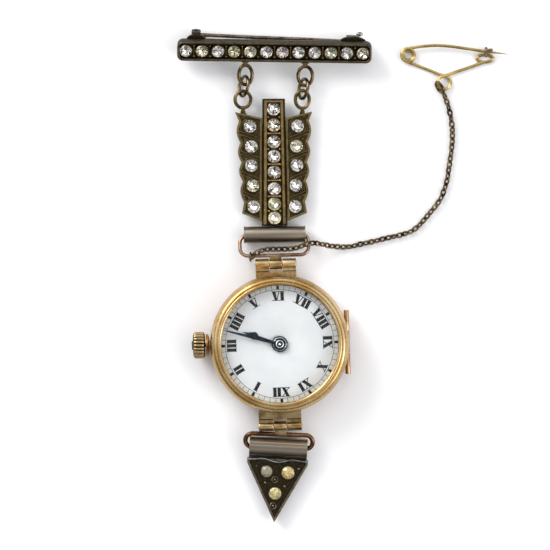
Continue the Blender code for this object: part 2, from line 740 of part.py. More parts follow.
def make_crown(watch, looks):
    """The stem with its crown, which pull out together, and the pinion that turns with them."""
    low, high = CROWN_X
    flutes = 360 / CROWN_FLUTES
    shape = ((CROWN_RADIUS, -0.28), (CROWN_RADIUS, 0.28), (CROWN_RADIUS - CROWN_FLUTE, 0.5))
    outline = [polar(radius, flutes * (i + turn)) for i in range(CROWN_FLUTES) for radius, turn in shape]
    crown = solid(along_x(prism(outline, low + 0.15, high), STEM_Y, STEM_Z), "crown", watch, looks["gold"])
    add(crown, along_x(rod(2.35, low - 0.05, low + 0.3, 22), STEM_Y, STEM_Z))
    add(crown, along_x(rod(0.95, low - 0.3, low + 0.1, 16), STEM_Y, STEM_Z))
    cut(crown, along_x(rod(STEM_RADIUS + GAP, low + 0.7, high + 1), STEM_Y, STEM_Z))
    stem = along_x(rod(STEM_RADIUS, low + 0.75, -9.0), STEM_Y, STEM_Z)
    solid(stem, "winding_stem", watch, looks["steel"])
    flare = [(STEM_BORE, -15.25), (2.4, -15.25), (2.35, -14.9), (1.8, -14.6)]
    tube = [(CROWN_TUBE_RADIUS, -14.55), (CROWN_TUBE_RADIUS, -13.1), (STEM_BORE, -13.1)]
    collar = along_x(lathe(flare + tube, 24), STEM_Y, STEM_Z)
    solid(collar, "crown_tube", watch, looks["gold"])
    pinion = along_x(gear(12, 0.17, 0, -12.1, -11.1, STEM_RADIUS + GAP, sharp=False), STEM_Y, STEM_Z)
    solid(pinion, "sliding_pinion", watch, looks["steel"])


# Movement


def wheel_centre(start, sum_of_teeth, module, way):
    """Where a meshing wheel's centre lies, from the teeth of both."""
    return polar((sum_of_teeth / 2 + MESH_SLACK) * module, way, start)


def train_wheel(name, watch, looks, centre, wheel, pinion, arbor):
    """An arbor with its wheel and its pinion, each (teeth, module, phase, low, high)."""
    made = solid(moved(gear(*wheel), *centre), name, watch, looks["brass"], (*centre, 0))
    add(made, moved(gear(*pinion, sharp=False), *centre))
    radius, low, high = arbor
    return add(made, moved(rod(radius, low, high), *centre))


def make_train(watch, looks):
    """Barrel, centre, third, fourth and escape wheels, in mesh from the barrel on."""
    barrel = wheel_centre((0, 0), BARREL_TEETH + CENTRE_LEAVES, BARREL_MODULE, BARREL_WAY)
    third = wheel_centre((0, 0), CENTRE_TEETH + THIRD_LEAVES, CENTRE_MODULE, THIRD_WAY)
    fourth = wheel_centre(third, THIRD_TEETH + FOURTH_LEAVES, THIRD_MODULE, FOURTH_WAY)
    escape = wheel_centre(fourth, FOURTH_TEETH + ESCAPE_LEAVES, FOURTH_MODULE, ESCAPE_WAY)
    make_barrel(watch, looks, barrel)
    wheel = (CENTRE_TEETH, CENTRE_MODULE, 0, 3.85, 4.05)
    pinion = (CENTRE_LEAVES, BARREL_MODULE, 0, 2.75, 3.45)
    train_wheel("centre_wheel", watch, looks, (0, 0), wheel, pinion, (0.25, LOW_PIVOT, 7.25))
    phase = mesh_phase(0, CENTRE_TEETH, THIRD_LEAVES, THIRD_WAY)
    wheel = (THIRD_TEETH, THIRD_MODULE, 0, 3.25, 3.4)
    pinion = (THIRD_LEAVES, CENTRE_MODULE, phase, 3.75, 4.2)
    train_wheel("third_wheel", watch, looks, third, wheel, pinion, (0.2, LOW_PIVOT, TOP_PIVOT))
    phase = mesh_phase(0, THIRD_TEETH, FOURTH_LEAVES, FOURTH_WAY)
    wheel = (FOURTH_TEETH, FOURTH_MODULE, 0, 2.7, 2.85)
    pinion = (FOURTH_LEAVES, THIRD_MODULE, phase, 3.15, 3.6)
    train_wheel("fourth_wheel", watch, looks, fourth, wheel, pinion, (0.2, LOW_PIVOT, TOP_PIVOT))
    phase = mesh_phase(0, FOURTH_TEETH, ESCAPE_LEAVES, ESCAPE_WAY)
    pinion = (ESCAPE_LEAVES, FOURTH_MODULE, phase, 2.6, 3.0)
    wheel = (ESCAPE_TEETH, 0.25, 0, *PALLET_Z)
    train_wheel("escape_wheel", watch, looks, escape, wheel, pinion, (0.15, LOW_PIVOT, TOP_PIVOT))
    return barrel, escape


def make_barrel(watch, looks, centre):
    """The toothed drum, open on its dial side, with the mainspring coiled in it."""
    phase = mesh_phase(0, CENTRE_LEAVES, BARREL_TEETH, BARREL_WAY)
    drum = [(0.55, 2.7), (4.85, 2.7), (4.85, 3.72), (4.6, 3.72), (4.6, 2.95), (0.55, 2.95)]
    barrel = solid(moved(lathe(drum, 24), *centre), "mainspring_barrel", watch, looks["brass"], (*centre, 0))
    add(barrel, moved(toothed_ring(BARREL_TEETH, BARREL_MODULE, phase, 4.72, 2.85, 3.15), *centre))
    spring = moved(prism(spiral(1.3, 4.4, 4, 0.16), 3.02, 3.62), *centre)
    solid(spring, "mainspring", watch, looks["steel"], (*centre, 0))


def toothed_ring(teeth, module, phase, bore, low, high):
    """A gear whose bore is almost as wide as its root circle."""
    pitch = teeth * module / 2
    outline = []
    for i in range(teeth):
        for radius, turn in ((pitch - 0.95 * module, -0.5), (pitch + 0.8 * module, 0.0)):
            outline.append(polar(radius, phase + (i + turn) * 360 / teeth))
    return prism(outline, low, high, [circle(bore, 24)])


def spiral(inner, outer, turns, width, steps=12):
    """The outline of a flat coiled strip."""
    count = turns * steps
    radii = [inner + (outer - inner) * i / count for i in range(count + 1)]
    edges = [[polar(r + side * width / 2, 360 * i / steps) for i, r in enumerate(radii)] for side in (1, -1)]
    return edges[0] + edges[1][::-1]


def make_winding(watch, looks, barrel):
    """Crown wheel, ratchet wheel on the barrel's arbor, click and setting lever."""
    centre = CROWN_WHEEL_CENTRE
    way = aim(barrel, centre)
    module = 2 * math.dist(barrel, centre) / (RATCHET_TEETH + CROWN_WHEEL_TEETH + 2 * MESH_SLACK)
    wheel = moved(gear(CROWN_WHEEL_TEETH, module, 0, 2.35, 2.6), *centre)
    crown_wheel = solid(wheel, "crown_wheel", watch, looks["steel"], (*centre, 0))
    add(crown_wheel, moved(rod(0.6, LOW_PIVOT, 2.9), *centre))
    phase = mesh_phase(0, CROWN_WHEEL_TEETH, RATCHET_TEETH, way)
    wheel = moved(gear(RATCHET_TEETH, module, phase, 2.35, 2.6), *barrel)
    ratchet = solid(wheel, "ratchet_wheel", watch, looks["steel"], (*barrel, 0))
    add(ratchet, moved(rod(0.5, LOW_PIVOT, TOP_PIVOT), *barrel))
    pivot = polar(RATCHET_TEETH * module / 2 + 1.05, 60, barrel)
    tip = polar(RATCHET_TEETH * module / 2 + 0.8 * module + 0.25, 85, barrel)
    along = aim(tip, pivot)
    reach = math.dist(tip, pivot)
    outline = [(0, -0.35), (reach, -0.05), (reach, 0.25), (0, 0.35), *arc(0.4, 120, 240, 4)]
    click = moved(turned(prism(outline, 2.35, 2.6), z=along), *pivot)
    click = solid(click, "click", watch, looks["steel"], (*pivot, 0))
    add(click, moved(rod(0.22, LOW_PIVOT, 2.65), *pivot))
    outline = [(-0.45, -0.3), (0.45, -0.3), (-0.6, 2.95), (-1.1, 2.95)]
    pivot = SETTING_PIVOT
    lever = moved(prism(outline, 3.75, 4.05), *pivot)
    lever = solid(lever, "setting_lever", watch, looks["steel"], (*pivot, 0))
    add(lever, moved(rod(0.3, 3.6, TOP_PIVOT), *pivot))


def make_escapement(watch, looks, escape):
    """Pallet fork, balance with its roller, hairspring, and the bridge and cock that hold them."""
    x, y = PALLET_CENTRE
    to_wheel = aim(escape, (x, y))
    to_balance = aim(BALANCE_CENTRE, (x, y))
    low, high = PALLET_Z
    lever = turned(box((0, -0.2, low), (2.3, 0.2, high)), z=to_balance)
    fork = solid(moved(lever, x, y), "pallet_fork", watch, looks["steel"], (x, y, 0))
    for turn in (-32, 32):
        pallet = polar(2.4, to_wheel + 180 + turn, escape)
        arm = box((0, -0.18, low), (math.dist(pallet, (x, y)), 0.18, high))
        add(fork, moved(turned(arm, z=aim(pallet, (x, y))), x, y))
    add(fork, moved(turned(box((2.1, -0.5, low), (2.7, 0.5, high)), z=to_balance), x, y))
    add(fork, moved(rod(0.18, 3.0, TOP_PIVOT), x, y))
    cut(fork, moved(turned(box((2.35, -0.2, 3), (3, 0.2, 4)), z=to_balance), x, y))
    outline = [(x - 0.6, y + 0.5), (x + 0.6, y + 0.5), (x + 1.6, -9.8), (x - 0.2, -9.8)]
    bridge = solid(prism(outline, 2.74, 2.95), "pallet_bridge", watch, looks["nickel"])
    add(bridge, box((x - 0.15, -9.75, 2.8), (x + 1.5, -8.6, TOP_PIVOT)))
    make_balance(watch, looks)


def aim(place, start):
    """The direction in degrees from one place to another."""
    return math.degrees(math.atan2(place[1] - start[1], place[0] - start[0]))


def make_balance(watch, looks):
    """The balance wheel on its staff, the hairspring, and the cock over them."""
    centre = BALANCE_CENTRE
    rim = pipe(BALANCE_RADIUS - 0.5, BALANCE_RADIUS, 2.35, 2.6, 32)
    balance = solid(moved(rim, *centre), "balance_wheel", watch, looks["brass"], (*centre, 0))
    spoke = box((-BALANCE_RADIUS + 0.3, -0.25, 2.38), (BALANCE_RADIUS - 0.3, 0.25, 2.57))
    add(balance, moved(spoke, *centre), moved(rod(0.2, 1.65, TOP_PIVOT), *centre))
    add(balance, moved(rod(0.55, 3.3, 3.45), *centre))
    spring = moved(prism(spiral(0.75, 2.5, 4, 0.09), 1.85, 2.02), *centre)
    solid(spring, "hairspring", watch, looks["steel"])
    x, y = centre
    outline = [(x + 0.8, y + 0.9), (x + 1.0, y - 0.9), (-5.2, -9.6), (-6.9, -7.7)]
    cock = solid(prism(outline, 1.25, 1.6), "balance_cock", watch, looks["nickel"])
    add(cock, prism([(-5.1, -9.5), (-6.8, -7.6), (-5.9, -7.0), (-4.5, -8.6)], 1.3, TOP_PIVOT))


def make_plates(watch, looks):
    """The main plate, with its recesses and the minute wheel's stud, and the two bridges on their feet."""
    low, high = PLATE_Z
    plate = prism(circle(DIAL_RADIUS, 40), low, high, [circle(0.8, 12)])
    plate = solid(plate, "main_plate", watch, looks["nickel"])
    minute = minute_centre()
    floor = 4.95
    cut(plate, rod(1.9, floor, high + 1, 24), moved(rod(1.75, floor, high + 1, 24), *minute))
    cut(plate, box((-14, STEM_Y - 1.3, low - 1), (-8.8, STEM_Y + 1.3, high - 0.25)))
    add(plate, moved(rod(0.2, low + 0.2, 5.6), *minute))
    for name, (outline, feet, radius) in BRIDGES.items():
        bridge = solid(prism(outline, *BRIDGE_Z), name, watch, looks["nickel"])
        add(bridge, *[moved(rod(radius, BRIDGE_Z[0] + 0.1, TOP_PIVOT, 16), *foot) for foot in feet])


def minute_centre():
    return wheel_centre((0, 0), CANNON_LEAVES + MINUTE_TEETH, MOTION_MODULE, MINUTE_WAY)


def make_motion_work(watch, looks):
    """Cannon pinion, minute wheel and hour wheel under the dial, and the two hands."""
    minute = minute_centre()
    cannon = gear(CANNON_LEAVES, MOTION_MODULE, 0, 5.0, 5.28, 0.3, sharp=False)
    cannon = solid(cannon, "cannon_pinion", watch, looks["steel"])
    add(cannon, pipe(0.3, 0.42, 5.1, 6.95, 16))
    phase = mesh_phase(0, CANNON_LEAVES, MINUTE_TEETH, MINUTE_WAY)
    wheel = gear(MINUTE_TEETH, MOTION_MODULE, phase, 5.03, 5.2, 0.25)
    wheel = solid(moved(wheel, *minute), "minute_wheel", watch, looks["brass"], (*minute, 0))
    add(wheel, moved(gear(MINUTE_LEAVES, MOTION_MODULE, 0, 5.15, 5.52, 0.25, sharp=False), *minute))
    phase = mesh_phase(0, MINUTE_LEAVES, HOUR_TEETH, MINUTE_WAY + 180)
    hour = solid(gear(HOUR_TEETH, MOTION_MODULE, phase, 5.33, 5.5, 0.48), "hour_wheel", watch, looks["brass"])
    add(hour, pipe(0.48, 0.68, 5.4, 6.35, 16))
    edge = [(0.95, 0.28), (4, 0.34), (8, 0.3), (MINUTE_TAPER, 0.16), (MINUTE_LENGTH, 0)]
    make_hand("minute_hand", watch, looks, hand_outline(1.0, edge), (6.98, 7.12), 0.3, MINUTE_ANGLE)
    spade = arc(1.0, 165, 50, 5, (5.5, 0))
    edge = [(1.62, 0.3), *spade, (7.2, 0.35), (HOUR_LENGTH, 0)]
    make_hand("hour_hand", watch, looks, hand_outline(1.66, edge), (6.4, 6.54), 0.48, HOUR_ANGLE)


def make_hand(name, watch, looks, outline, levels, bore, angle):
    """A flat hand, turned to its angle on the dial, with a hole for its arbor."""
    bm = turned(prism(outline, *levels, [circle(bore, 16)]), z=angle)
    solid(bm, name, watch, looks["blued"])


# Drop, chain and safety pin


def make_drop(drop, looks):
    """The triangular drop under its tube."""
    half = DROP_TUBE_LENGTH / 2
    solid(along_x(pipe(LINK_BORE, DROP_TUBE_RADIUS, -half, half)), "drop_tube", drop, looks["silver"])
    top = -DROP_TUBE_RADIUS - GAP
    (x, shoulder), _, apex = DROP_OUTLINE
    outline = [(x, top), (x, shoulder - 0.4), apex, (-x, shoulder - 0.4), (-x, top)]
    solid(prism(outline, -1.1, 0.3), "drop_plate", drop, looks["dark"])
    base = 0.3 + GAP
    backing = [(x, y) for x, y, _ in DROP_STONES]
    stones = solid(prism(backing, base, base + 0.25), "drop_stones", drop, looks["paste"])
    add(stones, joined(stone(x, y, base + 0.1, size) for x, y, size in DROP_STONES))


def smooth_through(route, spacing):
    """Evenly spaced points along a Catmull-Rom curve through the route's points."""
    points = [Vector(point) for point in route]
    ends = [2 * points[0] - points[1], *points, 2 * points[-1] - points[-2]]
    fine = []
    for a, b, c, d in zip(ends, ends[1:], ends[2:], ends[3:]):
        square, cube = 2 * a - 5 * b + 4 * c - d, 3 * b - a - 3 * c + d
        for step in range(12):
            t = step / 12
            fine.append((2 * b + (c - a) * t + square * t**2 + cube * t**3) / 2)
    fine.append(points[-1])
    along = [0.0]
    for one, other in zip(fine, fine[1:]):
        along.append(along[-1] + (other - one).length)
    count = round(along[-1] / spacing)
    targets = [along[-1] * i / count for i in range(count + 1)]
    columns = [np.interp(targets, along, [point[axis] for point in fine]) for axis in range(3)]
    return [Vector(place) for place in zip(*columns)]


def make_chain(frame, looks):
    """The safety chain's envelope, a tube along its route."""
    curve = bpy.data.curves.new("safety_chain", "CURVE")
    curve.dimensions = "3D"
    curve.bevel_depth = CHAIN_RADIUS * MM
    curve.bevel_resolution = 2
    curve.use_fill_caps = True
    places = smooth_through(CHAIN_ROUTE, CHAIN_STEP)
    spline = curve.splines.new("POLY")
    spline.points.add(len(places) - 1)
    for point, place in zip(spline.points, places):
        point.co = (*(place * MM), 1)
    chain = bpy.data.objects.new("safety_chain", curve)
    bpy.context.scene.collection.objects.link(chain)
    chain.parent = frame
    curve.materials.append(looks["brass"])


def make_safety_pin(frame, looks):
    """The bent frame with its coil, bottom loop, eye and hook, and the sprung stem that lies in the hook."""
    x, y = PIN_COIL
    wire = PIN_WIRE
    ring = moved(ring_wire(PIN_COIL_RADIUS, wire), x, y, PIN_LOW)
    pin = solid(ring, "safety_pin_frame", frame, looks["gold"])
    start = polar(PIN_COIL_RADIUS, 248, PIN_COIL)
    add(pin, sweep([(*start, PIN_LOW), (*polar(PIN_COIL_RADIUS, 68, PIN_LOOP), PIN_LOW)], wire))
    add(pin, moved(ring_wire(PIN_COIL_RADIUS, wire), *PIN_LOOP, PIN_LOW))
    start, end = polar(PIN_COIL_RADIUS, 107, PIN_LOOP), (PIN_EYE[0] + 0.6, PIN_EYE[1] - 0.7)
    add(pin, sweep([(*start, PIN_LOW), (*end, PIN_LOW)], wire))
    across, up = PIN_EYE_HALF
    eye = [(across * math.cos(t), up * math.sin(t), 0) for t in turns_round(16)]
    add(pin, moved(sweep(eye, wire, closed=True), *PIN_EYE, PIN_LOW))
    hook_x = PIN_EYE[0] + 0.2
    bend = [(hook_x, *point) for point in arc(PIN_HOOK_RADIUS, -90, 115, 8, (PIN_STEM[-2][1], PIN_HIGH))]
    add(pin, sweep([(hook_x, PIN_EYE[1] + 0.6, PIN_LOW), *bend], wire))
    stem = moved(ring_wire(PIN_COIL_RADIUS, wire), x, y, PIN_HIGH)
    stem = solid(stem, "safety_pin_stem", frame, looks["gold"], (x, y, PIN_HIGH))
    path = [(*point, PIN_HIGH) for point in PIN_STEM]
    add(stem, sweep(path, [wire] * 5 + [0.25, 0.07]))


def ring_wire(radius, wire):
    """A plain round ring about Z."""
    path = [(radius * math.cos(t), radius * math.sin(t), 0) for t in turns_round(14)]
    return sweep(path, wire, closed=True)


def main():
    clear_scene()
    looks = {
        "dark": finish("oxidised_metal", (0.13, 0.10, 0.06), 1, 0.45),
        "brass": finish("dark_brass", (0.28, 0.20, 0.10), 1, 0.4),
        "gold": finish("rose_gold", (0.72, 0.52, 0.30), 1, 0.25),
        "rose": finish("link_gold", (0.66, 0.42, 0.30), 1, 0.3),
        "silver": finish("silver", (0.50, 0.46, 0.42), 1, 0.35),
        "steel": finish("steel", (0.45, 0.43, 0.40), 1, 0.3),
        "nickel": finish("nickel_plate", (0.62, 0.60, 0.54), 1, 0.35),
        "blued": finish("blued_steel", (0.03, 0.04, 0.06), 1, 0.3),
        "enamel": finish("enamel", (0.93, 0.94, 0.95), 0, 0.15),
        "glass": finish("glass", (0.95, 0.97, 1.0), 0, 0.02),
        "paste": finish("paste", (0.85, 0.86, 0.80), 0, 0.05),
    }
    whole = frame_at("fob_watch", ORIGIN)
    bar = frame_at("bar_frame", BAR_CENTRE, BAR_TILT, BAR_ROLL, whole)
    make_brooch(whole, bar, looks)
    make_rings(whole, looks)
    hang = frame_at("plaque_axis", (PLAQUE_CENTRE[0], *PLAQUE_LOOP_TOP), PLAQUE_TILT, parent=whole)
    drop_to = (0, PLAQUE_CENTRE[1] - PLAQUE_LOOP_TOP[0], -PLAQUE_LOOP_TOP[1])
    make_plaque(frame_at("plaque_frame", drop_to, parent=hang), looks)
    make_plaque_tube(frame_at("plaque_tube_frame", PLAQUE_TUBE, PLAQUE_TILT, parent=whole), looks)
    upper = frame_at("upper_link_axis", PLAQUE_TUBE, WATCH_TILT, parent=whole)
    lower = frame_at("lower_link_frame", LOWER_LINK_CENTRE, LOWER_LINK_TILT + 180, parent=whole)
    make_links(upper, lower, looks)
    hinge = frame_at("watch_axis", upper_hinge_place(), WATCH_TILT, parent=whole)
    watch = frame_at("watch_frame", (-HINGE_X, -UPPER_HINGE_Y, -HINGE_Z), parent=hinge)
    make_case(watch, looks)
    make_crown(watch, looks)
    make_plates(watch, looks)
    barrel, escape = make_train(watch, looks)
    make_winding(watch, looks, barrel)
    make_escapement(watch, looks, escape)
    make_motion_work(watch, looks)
    make_drop(frame_at("drop_axis", DROP_CENTRE, DROP_TILT, parent=whole), looks)
    make_chain(whole, looks)
    make_safety_pin(whole, looks)


main()
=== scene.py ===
"""The looks of a ladies' fob watch on a paste-set bar brooch, which lies flat on its back.

Sizes and places are in millimetres, each in its group's own frame. piece() turns them into metres.
"""

import json
import math
import random

import bmesh
import bpy
from mathutils import Euler, Matrix, Vector


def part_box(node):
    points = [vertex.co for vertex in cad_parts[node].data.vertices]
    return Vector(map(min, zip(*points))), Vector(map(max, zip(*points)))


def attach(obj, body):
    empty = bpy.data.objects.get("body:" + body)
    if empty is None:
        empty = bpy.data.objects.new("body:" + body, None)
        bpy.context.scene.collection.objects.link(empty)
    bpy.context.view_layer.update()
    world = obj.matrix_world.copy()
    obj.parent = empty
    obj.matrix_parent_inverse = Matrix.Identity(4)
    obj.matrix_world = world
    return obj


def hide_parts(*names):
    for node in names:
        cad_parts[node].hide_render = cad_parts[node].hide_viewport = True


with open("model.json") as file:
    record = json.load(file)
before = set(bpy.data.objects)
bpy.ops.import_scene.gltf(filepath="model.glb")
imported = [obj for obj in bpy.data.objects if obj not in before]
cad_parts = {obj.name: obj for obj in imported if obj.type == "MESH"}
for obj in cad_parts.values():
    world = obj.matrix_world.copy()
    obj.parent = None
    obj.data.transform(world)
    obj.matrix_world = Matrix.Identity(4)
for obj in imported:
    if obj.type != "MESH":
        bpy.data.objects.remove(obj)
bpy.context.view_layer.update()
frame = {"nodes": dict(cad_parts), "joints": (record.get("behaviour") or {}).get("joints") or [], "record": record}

MM = 0.001
joints = {joint["name"]: joint for joint in frame["joints"]}
mounts = {mount["name"]: mount for mount in frame["record"]["mounts"]}

# Camera: straight above, far enough away to flatten the view.
VIEW_CENTRE = (0.12, 0.08)
VIEW_WIDTH = 114.4
CAMERA_HEIGHT = 900.0
SENSOR = 36.0

# Brooch bar, in its own frame: x along it, z out of its front.
BAR_HALF = (20.13, 2.1, 1.35)
BAR_CORNER = 1.25
BAR_FLOOR = 0.1
BAR_STONES = 12
BAR_PITCH = 3.335
BAR_STONE = 1.22
BAR_TINTS = "white olive white green straw rose pink white grey moss white straw".split()
BAR_LOOPS = {"left": ((-6.01, 41.58, 2.65), 3.5, 4.8), "right": ((6.39, 41.36, 2.65), 3.74, 4.7)}
LOOP_WIRE = 0.37
LOOP_SLOPE = 10
RING_CENTRES = {"left": (-6.36, 39.26, 2.3), "right": (6.0, 38.71, 2.3)}
RING_RADIUS = 2.07
RING_WIRE = 0.35
RING_LEAN = 25
RING_YAW = 9
PIN_AXIS = (-16.3, 2.35, -3.0)
PIN_TIP = 18.6
PIN_DROP = 0.75
CATCH = (14.9, 17.0)
CATCH_RADIUS = 1.1

# Plaque, in its own frame: y along the column, z = 0 on the floor.
COLUMN_ENDS = (-13.06, 13.3)
COLUMN_HALF = (2.67, 2.34)
COLUMN_Z = (1.1, 3.0)
COLUMN_FLOOR = 2.0
COLUMN_BARS = (1, 3, 4, 5)
WING_Z = (1.2, 2.4)
PLATE_SINK = 0.28
NOTCHES = (8.7, 4.2, 0.1, -3.8, -8.1)
GROOVES = (6.35, 2.2, -2.1, -6.2)
GROOVE_FALL = 1.6
CENTRE_STONES = (11.13, 7.8, 4.33, 1.33, -1.96, -5.39, -8.57, -11.45)
CENTRE_TINTS = "white straw grey white grey white olive straw".split()
SIDE_STONES = ((4.95, 7.6), (4.7, 3.4), (4.73, -0.55), (4.45, -4.7), (4.3, -9.1))
SIDE_TINTS = {"left": "white white white straw white".split(), "right": "white straw white grey rose".split()}
STONE = 1.28
PLAQUE_LOOPS = {"left": ((-6.38, 13.2), 4.0, 4.2), "right": ((5.95, 13.1), 3.6, 4.4)}
PLAQUE_LOOP_Z = 1.95
TUBE_HALF = 6.385

# Watch, in its own frame: z = 0 on the case back's flat.
HINGE_X = -0.35
HINGES = {"upper": (1, 16.56, 8.4, 1.1), "lower": (-1, -17.03, 8.9, 1.0)}
HINGE_Z = 3.6
HINGE_PIN = 0.4
KNUCKLE_HALF = 1.3
LUG_HALF = 0.65
LUG_ROOT = 13.5
BAND_NOTCH = 13.3
STEM = (0.17, 3.9)
STEM_BORE = (0.75, 0.3)
CROWN_X = (-17.9, -15.45)
CROWN_RADIUS = 2.775
CROWN_FLUTES = 22
BACK_HINGE = (14.0, 2.25)
BACK_HINGE_HALF = 6.65
BACK_KNUCKLE_HALF = 2.25
CRYSTAL_THICK = 0.4
DIAL_TOP = 6.05
DIAL_TURN = 0.55
MINUTE_TRACK = (11.2, 11.8)
NUMERAL_FOOT = 8.94
NUMERALS = "XII I II III IIII V VI VII VIII IX X XI".split()
# Each letter's width, then its strokes from its left edge: left and right foot, right and left head.
LETTERS = {
    "I": (0.7, (0.0, 0.7, 0.7, 0.0)),
    "V": (1.55, (0.561, 1.061, 0.74, -0.02), (0.861, 1.061, 1.55, 1.35)),
    "X": (1.65, (0.95, 1.65, 0.7, 0.0), (0.0, 0.2, 1.65, 1.45)),
}
LETTER_HEIGHT = 1.95
LETTER_GAP = 0.19
SERIF = 0.14
MINUTE_ANGLE = 164.5
HOUR_ANGLE = 160.4

# Links: half width, distance between the runs, wire radius, corner radius, rise from run to run, sideways shift.
UPPER_LINK = (7.12, 4.52, 0.375, 1.7, 1.24, -0.14)
LOWER_LINK = (6.97, 3.0, 0.475, 1.45, 0.85, 0.0)
LOWER_LINK_PLACE = (0.9, -35.823, 2.3)
LOWER_LINK_TILT = 178.0

# Drop, in its own frame: the tube's axis is y = z = 0.
DROP_TUBE = (6.0, 2.185)
DROP_GROOVE = (20, 6)
DROP_SHOULDER = (6.3, -3.3)
DROP_APEX = -15.45
DROP_STONES = ((-2.15, -4.97, 1.15, "cloud"), (2.3, -5.02, 1.3, "amber"), (-0.15, -9.47, 1.25, "cream"))
DROP_GRAINS = (
    *((-4.3, -4.0, 0), (4.45, -4.1, 0), (-0.35, -6.6, 1), (-2.3, -7.35, 0), (1.75, -7.9, 0), (-0.45, -12.05, 1)),
)

# Safety chain and pin, in the world. The chain climbs over the tube and the link, then lies on the table.
CHAIN_CLIMB = (
    *((-4.95, 3.55, 4.25), (-4.3, 4.2, 4.42), (-3.41, 4.8, 4.2), (-2.37, 5.3, 3.85), (-0.92, 5.42, 3.6)),
    *((1.79, 5.43, 3.5), (4.49, 5.64, 3.6), (6.09, 6.3, 3.8), (7.61, 6.73, 3.7), (9.61, 6.51, 2.7)),
    *((11.88, 6.05, 1.35), (13.6, 5.93, 0.8)),
)
CHAIN_REST = 0.73
CHAIN_FLAT = (
    *((15.6, 5.94), (17.95, 6.51), (20.68, 7.07), (22.92, 7.66), (24.87, 8.09), (26.75, 8.55), (28.78, 9.31)),
    *((30.5, 10.86), (32.03, 12.67), (33.3, 14.14), (34.47, 15.74), (35.21, 17.56), (35.84, 19.57)),
    *((36.23, 22.01), (36.59, 24.54), (36.9, 26.89), (37.0, 29.22), (36.85, 31.65), (36.38, 34.22)),
    *((35.75, 36.3), (35.2, 37.75)),
)
CHAIN_ROUTE = CHAIN_CLIMB + tuple((*point, CHAIN_REST) for point in CHAIN_FLAT)
START_RING = ((-4.95, 3.85, 3.54), (0, -0.387, 0.922), (0, -0.922, -0.387))
END_RING = (34.35, 39.05, 1.15)
CHAIN_PITCH = 1.2
CHAIN_LINK = (2.0, 1.42)
CHAIN_WIRE = 0.2
PIN_WIRE = 0.32
PIN_COIL = (27.75, 45.78)
PIN_COIL_RADIUS = 1.34
PIN_LOOP = (35.26, 40.02)
PIN_EYE = (43.78, 45.1)
PIN_EYE_HALF = (1.68, 0.76)
PIN_STEM = (
    *((27.62, 47.11), (30.5, 47.54), (33.53, 47.76), (36.5, 47.58)),
    *((39.56, 47.16), (44, 46.51), (48.71, 45.93)),
)
PIN_LOW = 0.33
PIN_HIGH = 1.0

TINTS = {
    "white": (0.985, 0.97, 0.945),
    "grey": (0.90, 0.89, 0.865),
    "straw": (0.975, 0.95, 0.85),
    "olive": (0.93, 0.925, 0.79),
    "green": (0.92, 0.91, 0.74),
    "moss": (0.84, 0.84, 0.75),
    "rose": (0.96, 0.94, 0.92),
    "pink": (0.95, 0.885, 0.865),
    "cream": (0.66, 0.60, 0.25),
    "amber": (0.66, 0.49, 0.18),
    "cloud": (0.36, 0.34, 0.30),
}

# Painted reflections: each facet of a stone has its colour scaled by a share drawn at random from one of these,
# which paints bright and dark facets.
GLASS_PAINTED_SPARKLE = (1.0,)
FOIL_PAINTED_SPARKLE = (1.0, 1.0, 1.0, 0.95, 0.9, 0.75, 0.45, 0.12)
CLOUDY_PAINTED_SPARKLE = (1.1, 1.0, 0.95, 0.9, 0.75, 0.5)

# Surfaces: scratches on polished metal, stripes on the nickel, and the gloss of what isn't metal.
SCRATCH = 0.002
STRIPE_SCALE = 210.0
PASTE = {"Roughness": 0.02, "IOR": 1.55, "Transmission_Weight": 1.0}
FOIL = {"Roughness": 0.09, "Metallic": 1.0}
CLOUDY = {"Roughness": 0.2, "Coat_Weight": 0.8, "Coat_Roughness": 0.04}
PRINT = {"Roughness": 0.6, "Specular_IOR_Level": 0.1}

# Room: brightness by height on the sky ball, from floor to zenith, and the side that it is dimmer towards.
SKY_ENDS = ((0.30, 0.31, 0.33, 1), (0.3, 0.3, 0.31, 1))
SKY = ((0.22, 0.06), (0.33, 0.08), (0.44, 1.1), (0.8, 1.15), (0.93, 0.85), (0.975, 0.42))
SKY_SIDE = (0.45, 0.9, 0)
LAMPS = (("key", (-0.62, 0.62, 0.5), 0.6, 7.0), ("fill", (0.6, -0.2, 0.4), 0.35, 1.5))


# Frames


def placed(origin, x_axis, y_axis):
    """The matrix of a frame with its origin in metres."""
    x_axis, y_axis = Vector(x_axis).normalized(), Vector(y_axis).normalized()
    turn = Matrix((x_axis, y_axis, x_axis.cross(y_axis))).transposed()
    return Matrix.Translation(origin) @ turn.to_4x4()


def centre_of(node):
    low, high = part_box(node)
    return (low + high) / 2


def level_frame(origin, joint, sign):
    """A frame that lies flat, with its x along a joint's axis."""
    x_axis = sign * Vector(joints[joint]["axis"])
    return placed(origin, x_axis, Vector((0, 0, 1)).cross(x_axis))


WORLD = Matrix.Identity(4)
BAR = placed(centre_of("brooch_bar"), -Vector(joints["catch_turn"]["axis"]), joints["pin_open"]["axis"])
UPPER = level_frame(joints["upper_link_swing"]["pos_m"], "upper_link_swing", 1)
WATCH = level_frame(mounts["case_back_face"]["pos_m"], "lower_hinge", 1)
DROP = level_frame(joints["drop_swing"]["pos_m"], "drop_swing", -1)
LOWER = Matrix.Translation(Vector(LOWER_LINK_PLACE) * MM) @ Matrix.Rotation(math.radians(LOWER_LINK_TILT), 4, "Z")
TUBE = level_frame(centre_of("plaque_tube"), "plaque_swing", -1)
column = centre_of("plaque_column")
PLAQUE = level_frame((column.x, column.y, 0), "plaque_swing", -1) @ Matrix.Translation(
    (0, -sum(COLUMN_ENDS) / 2 * MM, 0)
)


# Shapes, as meshes in millimetres


def polar(radius, degrees, centre=(0.0, 0.0)):
    angle = math.radians(degrees)
    return (centre[0] + radius * math.cos(angle), centre[1] + radius * math.sin(angle))


